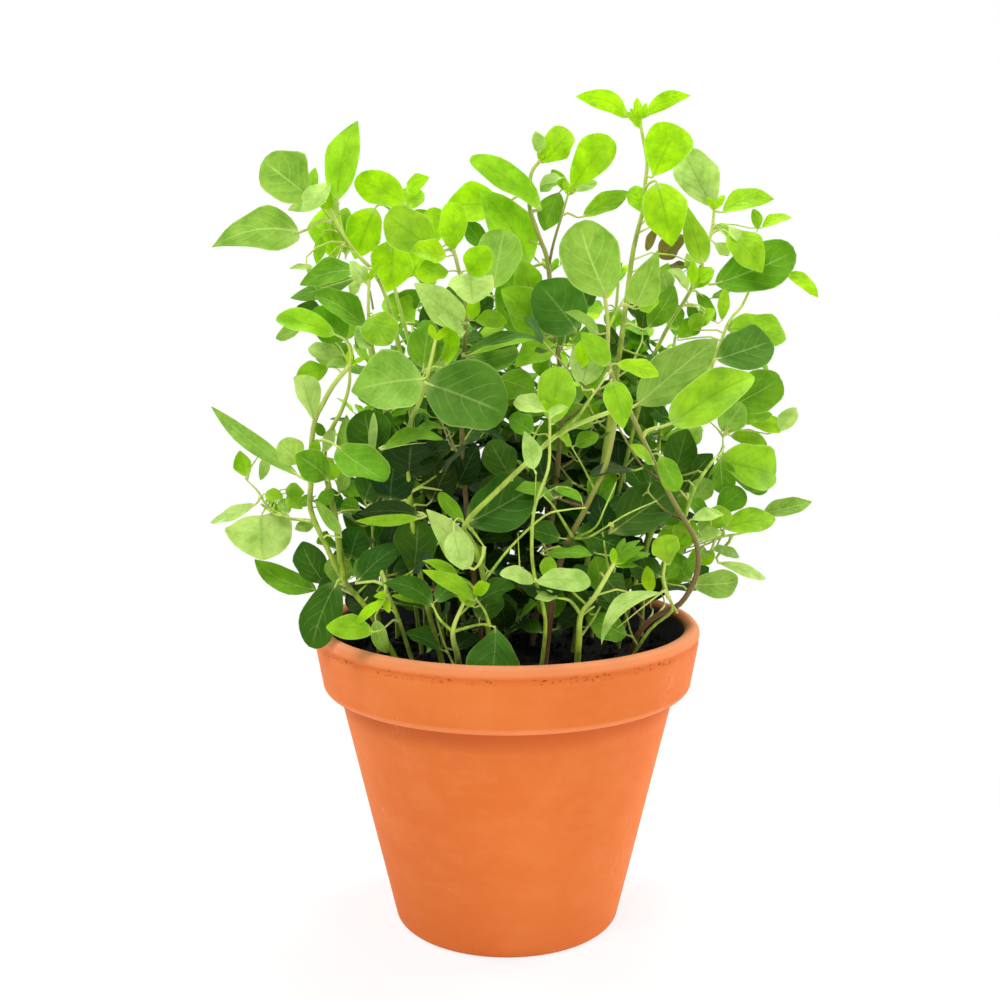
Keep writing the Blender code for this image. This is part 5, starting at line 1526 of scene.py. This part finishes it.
raise_shoot("shoot_trailing_right", 403, 1, (1.15, 0.68), [
    [(46, -31, 112), (48.9, -36, 123.7), (54.7, -38, 130.4), (63, -43, 136.3), (68, -45, 146),
     (69, -45, 154), (67, -45, 162), (59.5, -49, 174), (51, -55, 190), (43, -59, 206),
     (36.5, -60, 218), (34.5, -60, 227), (34.5, -59, 237), (33.5, -58, 246)],
    [(0, 1.15), (63.9, -45, 168.7), (67.7, -42, 178.8), (75.1, -34, 187.4), (80.2, -24, 190.3),
     (81.1, -20, 195.3)],
    [(0, 1.1), (34.5, -59, 236), (40, -58, 246)],
    [(0.1, 1), (66.7, -44.3, 160), (79, -28, 158.5), (91, -17, 158.5), (97, -11, 161)],
    [(0.2, 0.8), (62, -43, 133), (58, -50, 140)],
], [
    ((34.1, -58, 246.7), (24.6, -62, 271.3), 20, 20, "pale", "round", -0.04),
    ((43.8, -58, 243.6), (50.7, -64, 262), 11, 20, "pale", "spear", 0.03),
    ((34.7, -61, 223.3), (25, -64, 234.4), 7.8, 25, "fresh", "egg", 0.04),
    ((37.5, -61, 223.7), (51.3, -66, 219.4), 7.4, 35, "lime"),
    ((35.4, -62, 217.7), (39.3, -68, 202.3), 9.3, 15, "fresh", "egg", -0.04),
    ((50.7, -58, 188.9), (42.8, -62, 196.2), 5, 30, "fresh"),
    ((53, -58, 192), (59, -62, 180), 8, 35, "mid"),
    ((57.1, -56, 203.1), (86.5, -48, 219.2), 15.4, 20, "fresh", "blunt"),
    ((46.4, -48, 209.5), (75.4, -40, 232.3), 17, 20, "pale", "egg"),
    ((54.3, -56, 143.1), (32.6, -64, 127.2), 6, 30, "light", "lance", 0.18),
    ((67.7, -40, 142.6), (85.7, -34, 142.9), 10.4, 20, "pale", "round"),
    ((80.7, -18, 146.9), (101.9, -8, 138.7), 5.1, 40, "light", "lance", 0.03),
    ((76.5, -30, 153.9), (88, -22, 150), 5.3, 40, "pale"),
    ((81.4, -26, 161.4), (103.1, -14, 163.4), 10, 30, "fresh", "egg"),
    ((99.2, -10, 164.8), (118.6, -4, 168), 7.8, 35, "pale", "egg"),
    ((69.4, -38, 159.6), (78.8, -37, 161.9), 5.6, 30, "light"),
    ((67, -42, 167.3), (79.6, -35, 168.1), 5.5, 30, "light"),
    ((78.6, -24, 167.9), (89.6, -20, 175.3), 10, 20, "mid"),
    ((79.9, -19, 186), (103.8, -12, 180.4), 17.9, 20, "fresh", "round"),
    ((84, -11, 186), (100, -6, 173), 12, 25, "mid"),
    ((79.9, -22, 187.3), (82, -18, 173.3), 10.6, 20, "mid"),
    ((81.3, -16, 197.3), (89.1, -16, 207.5), 10.7, 20, "pale"),
    ((92.8, -12, 199.4), (107.2, -6, 198), 8.8, 35, "lime"),
    ((85.4, -12, 195), (99.8, -10, 191.4), 6.8, 30, "fresh"),
    ((73.4, -14, 199.6), (69.9, -10, 190.7), 5.9, 20, "light"),
    ((87.5, -14, 200.5), (101.3, -10, 202.7), 6.8, 25, "fresh"),
    ((104.3, -8, 196.5), (111.7, -6, 205.2), 6.9, 20, "light"),
    ((73.4, -36, 168.7), (65.7, -38, 173.8), 6.5, 25, "mid"),
    ((68.3, -26, 171.5), (76.5, -24, 179.2), 8.6, 20, "pale"),
    ((73.1, -26, 147.6), (77.5, -26, 152.8), 5.2, 25, "lime"),
    ((69.9, -28, 143.3), (75.9, -26, 146.7), 4.7, 25, "dark"),
    ((75.3, -30, 162.7), (80, -28, 166.8), 4.7, 25, "fresh"),
    ((70, -34, 152.1), (65, -36, 146.9), 4.7, 25, "mid"),
    ((69.8, -32, 155.5), (75.3, -30, 150.9), 3.4, 30, "pale"),
    ((65.3, -20, 173.6), (77.6, -18, 188.8), 14.4, 15, "dark"),
    ((62.9, -24, 182.7), (67.4, -22, 198.3), 12.4, 15, "dark"),
    ((70.3, -38, 162.1), (73.1, -38, 169.5), 3.7, 20, "pale"),
    ((58.5, -36, 144.1), (63, -34, 149.3), 5.6, 25, "mid"),
    ((54.3, -56, 189), (58.9, -58, 179.4), 6.2, 20, "lime"),
    ((31.2, -59, 233.8), (19.1, -64, 241), 5.9, 30, "pale", "egg", 0.03),
    ((28.7, -48, 215), (30.2, -50, 233.8), 9.9, 15, "mid", "egg"),
    ((72.4, -30, 162.9), (84, -26, 167.3), 8.5, 25, "fresh"),
    ((61, -8, 135.6), (69.2, -6, 147.1), 10.8, 15, "mid"),
    ((59.3, -6, 147.1), (67.5, -4, 158.6), 11.9, 15, "fresh"),
    ((69.7, -16, 139.2), (64.2, -14, 150.5), 8.7, 15, "mid"),
    ((64.2, -14, 152.4), (72.2, -12, 161.8), 9.7, 15, "fresh"),
    ((57, 0, 128), (60, 0, 140), 10, 15, "deep"),
    ((70.4, -18, 143.4), (75.5, -16, 152.7), 6.8, 20, "fresh"),
    ((58.8, -10, 161.5), (68.9, -8, 171.1), 12.8, 15, "mid"),
    ((85.3, -8, 185.2), (101.8, -5, 172.8), 10.2, 25, "mid", "round"),
    ((56.3, -20, 178.5), (52.5, -18, 186.2), 6.1, 20, "dark"),
    ((51.3, -20, 176), (46.6, -18, 183.4), 8.2, 20, "dark"),
])


# ---------------------------------------------------------------- the short shoots by the rim
#
# Young shoots that come up just inside the front of the pot and stand against the dark soil.

raise_shoot("shoot_front_low", 500, 0.12, (1.39, 0.61), [
    [(-17, -53, 112), (-17.5, -59, 121), (-19, -62, 130.5), (-15, -64, 141.5)],
    [(0, 1.1), (-19, -62, 130.5), (-23.3, -62, 134.6), (-25.9, -62, 139.8)],
    [(0, 1.1), (-19, -62, 130.5), (-9, -61.5, 133), (-4.5, -59, 131.5)],
    [(0, 1.1), (-6, -60.5, 132), (-8, -61, 138), (-12, -63, 144)],
    [(0, 1), (-12, -63, 144), (-7.8, -66, 149.4), (1.3, -68, 161.6), (12.7, -68, 172.3),
     (20.4, -67, 174.3), (27.1, -66, 174.9)],
], [
    ((-16.8, -61, 149.2), (-29.1, -64, 156.2), 4.9, 40, "fresh", "egg", 0.04),
    ((-11.8, -65, 142.5), (-28.5, -71, 154), 5.9, 35, "fresh", "egg", 0.05),
    ((-11.5, -66, 145), (-6, -70, 149), 5, 30, "lime"),
    ((-4.1, -58, 130.8), (-5.5, -61, 113.1), 18.4, 15, "blue", "wedge"),
    ((-25, -60, 141), (-17, -56, 147), 7, 35, "blue"),
    ((-10, -54, 133), (-4, -48, 143), 11, 15, "dark"),
    ((-25.9, -62, 140), (-42.9, -62, 147.8), 8.2, 30, "dark", "egg", 0.12),
    ((-26.1, -61, 139.2), (-40.5, -61, 143.2), 2.8, 30, "fresh"),
    ((-11.8, -60, 139), (-18.5, -62, 150.8), 6.5, 30, "fresh", "egg", 0.03),
], inner=2)
raise_shoot("shoot_low_right", 501, 0.12, (1.23, 0.76), [
    [(25, -52, 112), (25.5, -58, 127), (26, -60, 136), (31, -60, 143), (37.5, -60, 154.5)],
    [(0, 1), (26, -60, 136), (22, -62, 141.5), (17, -64, 143)],
    [(0, 1), (26, -60, 136), (30.5, -62, 139.5)],
], [
    ((18, -64, 143), (9.5, -68, 143.5), 5, 55, "light"),
    ((31.5, -50, 139.5), (43, -48, 136), 7, 35, "dark"),
    ((37.9, -60, 155.3), (47.7, -63, 160.8), 3.5, 40, "mid"),
    ((38.4, -57, 154), (50, -58, 157.6), 3.5, 40, "mid"),
    ((33, -56, 150), (42, -50, 138), 11, 25, "dark"),
    ((37.9, -60, 155.9), (46.5, -58, 162.6), 3.2, 40, "mid"),
    ((37.5, -60, 155.9), (41.2, -58, 163.1), 2.8, 30, "mid"),
    ((52.1, -44, 140.7), (50.9, -42, 150.1), 4.9, 20, "lime"),
    ((38.8, -60, 153.2), (45.8, -60, 153.7), 2.8, 40, "mid"),
], inner=3)
raise_shoot("shoot_lime_right", 502, 0.12, (0.66, 0.53), [
    [(44, -40, 112), (52.2, -43, 126.7), (59.6, -46, 134.3), (58, -47, 140.5), (56.3, -47, 146.5),
     (56.8, -47, 153)],
], [
    ((58.7, -46, 151.7), (55.4, -53, 163.4), 10.3, 15, "fresh", "wedge"),
    ((56, -42, 146), (46, -36, 150), 10, 35, "dark"),
], inner=3)


# ---------------------------------------------------------------- the far side's shoots
#
# The same plant's shoots behind: they leave the soil upright, lean out and carry opposite pairs
# of leaves all the way up, each pair a quarter turn from the one below it.

BACK_SHOOTS = [
    # root (x, y), tip
    ((-44, 6), (-56, 22, 230)), ((-34, 26), (-47, 47, 232)), ((-24, 16), (-32, 34, 250)),
    ((-18, 36), (-22, 60, 224)), ((-4, 22), (-8, 46, 256)), ((4, 40), (5, 63, 218)),
    ((16, 18), (18, 42, 258)), ((24, 38), (30, 58, 226)), ((38, 20), (46, 38, 254)),
    ((54, 6), (68, 22, 232)), ((42, 34), (60, 48, 218)), ((-50, -10), (-56, 0, 200)),
]
BACK_SEED = 900
BACK_FLUSH = 0.15
BACK_RADII = (1.05, 0.65)
BACK_PAIRS = 11
BACK_TURN = 37                   # degrees from one shoot's leaves to the next shoot's
PAIR_TURN = 86                   # degrees from one pair of leaves to the next
BACK_LEAF = (27.0, 17.0)         # length and width of the lowest leaves
BACK_FACE = 88
BACK_INNER_TOP = 235
BACK_INNER_LEAF = 21.0
TIP_LEAF = (7.0, 4.0)            # length and width of the four that close each shoot


def back_route(root, tip):
    """A stem that leaves the soil upright and leans out towards its tip."""
    low, high = Vector((*root, SOIL_TOP + 2)), Vector(tip)
    shares = [step / 5 for step in range(6)]
    return [(low.x + (high.x - low.x) * share ** 1.6, low.y + (high.y - low.y) * share ** 1.6,
             low.z + (high.z - low.z) * share) for share in shares]


def raise_back_shoot(name, order, root, tip):
    """A shoot with pairs of leaves from its foot to its tip, smaller and paler upwards."""
    shoot = Shoot(name, BACK_SEED + order, BACK_FLUSH)
    points = shoot.stem(back_route(root, tip), *BACK_RADII)
    draw = shoot.draw
    for index in range(BACK_PAIRS):
        share = 0.16 + 0.84 * index / (BACK_PAIRS - 1)
        place = points[1 + round(share * (len(points) - 2))]
        size = (0.62 + 0.55 * math.sin(math.pi * min(1.0, share * 1.1))) * (1.0 - 0.40 * share)
        for side, higher in ((0, 0.0), (180, 1.0)):
            turn = BACK_TURN * order + PAIR_TURN * index + side + draw.uniform(-14, 14)
            outward = on_a_turn(turn, 0.05 + 0.75 * share + draw.uniform(-0.2, 0.25)).normalized()
            length, width = (number * size * draw.uniform(0.85, 1.1) for number in BACK_LEAF)
            base = place + outward * draw.uniform(3.0, 6.0) + Vector((0, 0, higher))
            common = ("mid", "mid", "dark", "fresh", "lime") if share < 0.8 else ("lime", "mid")
            tone = draw.choice(common)
            # painted shade: the lowest leaves take the darker tones
            if base.z < SHADED - 15:
                tone = draw.choice(SHADE_TONES)
            shoot.leaf(base, base + outward * length, width, BACK_FACE, tone)
    inner_growth(shoot, 7, BACK_INNER_TOP, (0, 360), BACK_INNER_LEAF, ("mid", "dark", "fresh"))
    length, width = TIP_LEAF
    for index in range(4):
        outward = on_a_turn(90 * index + BACK_TURN * order, 1.4).normalized()
        base = points[-1] + outward * 0.8
        shoot.leaf(base, base + outward * length, width, BACK_FACE, "lime", stalk=False, age=0.5)
    shoot.grow()


for order, (root, tip) in enumerate(BACK_SHOOTS, 1):
    raise_back_shoot(f"shoot_back_{order:02d}", order - 1, root, tip)
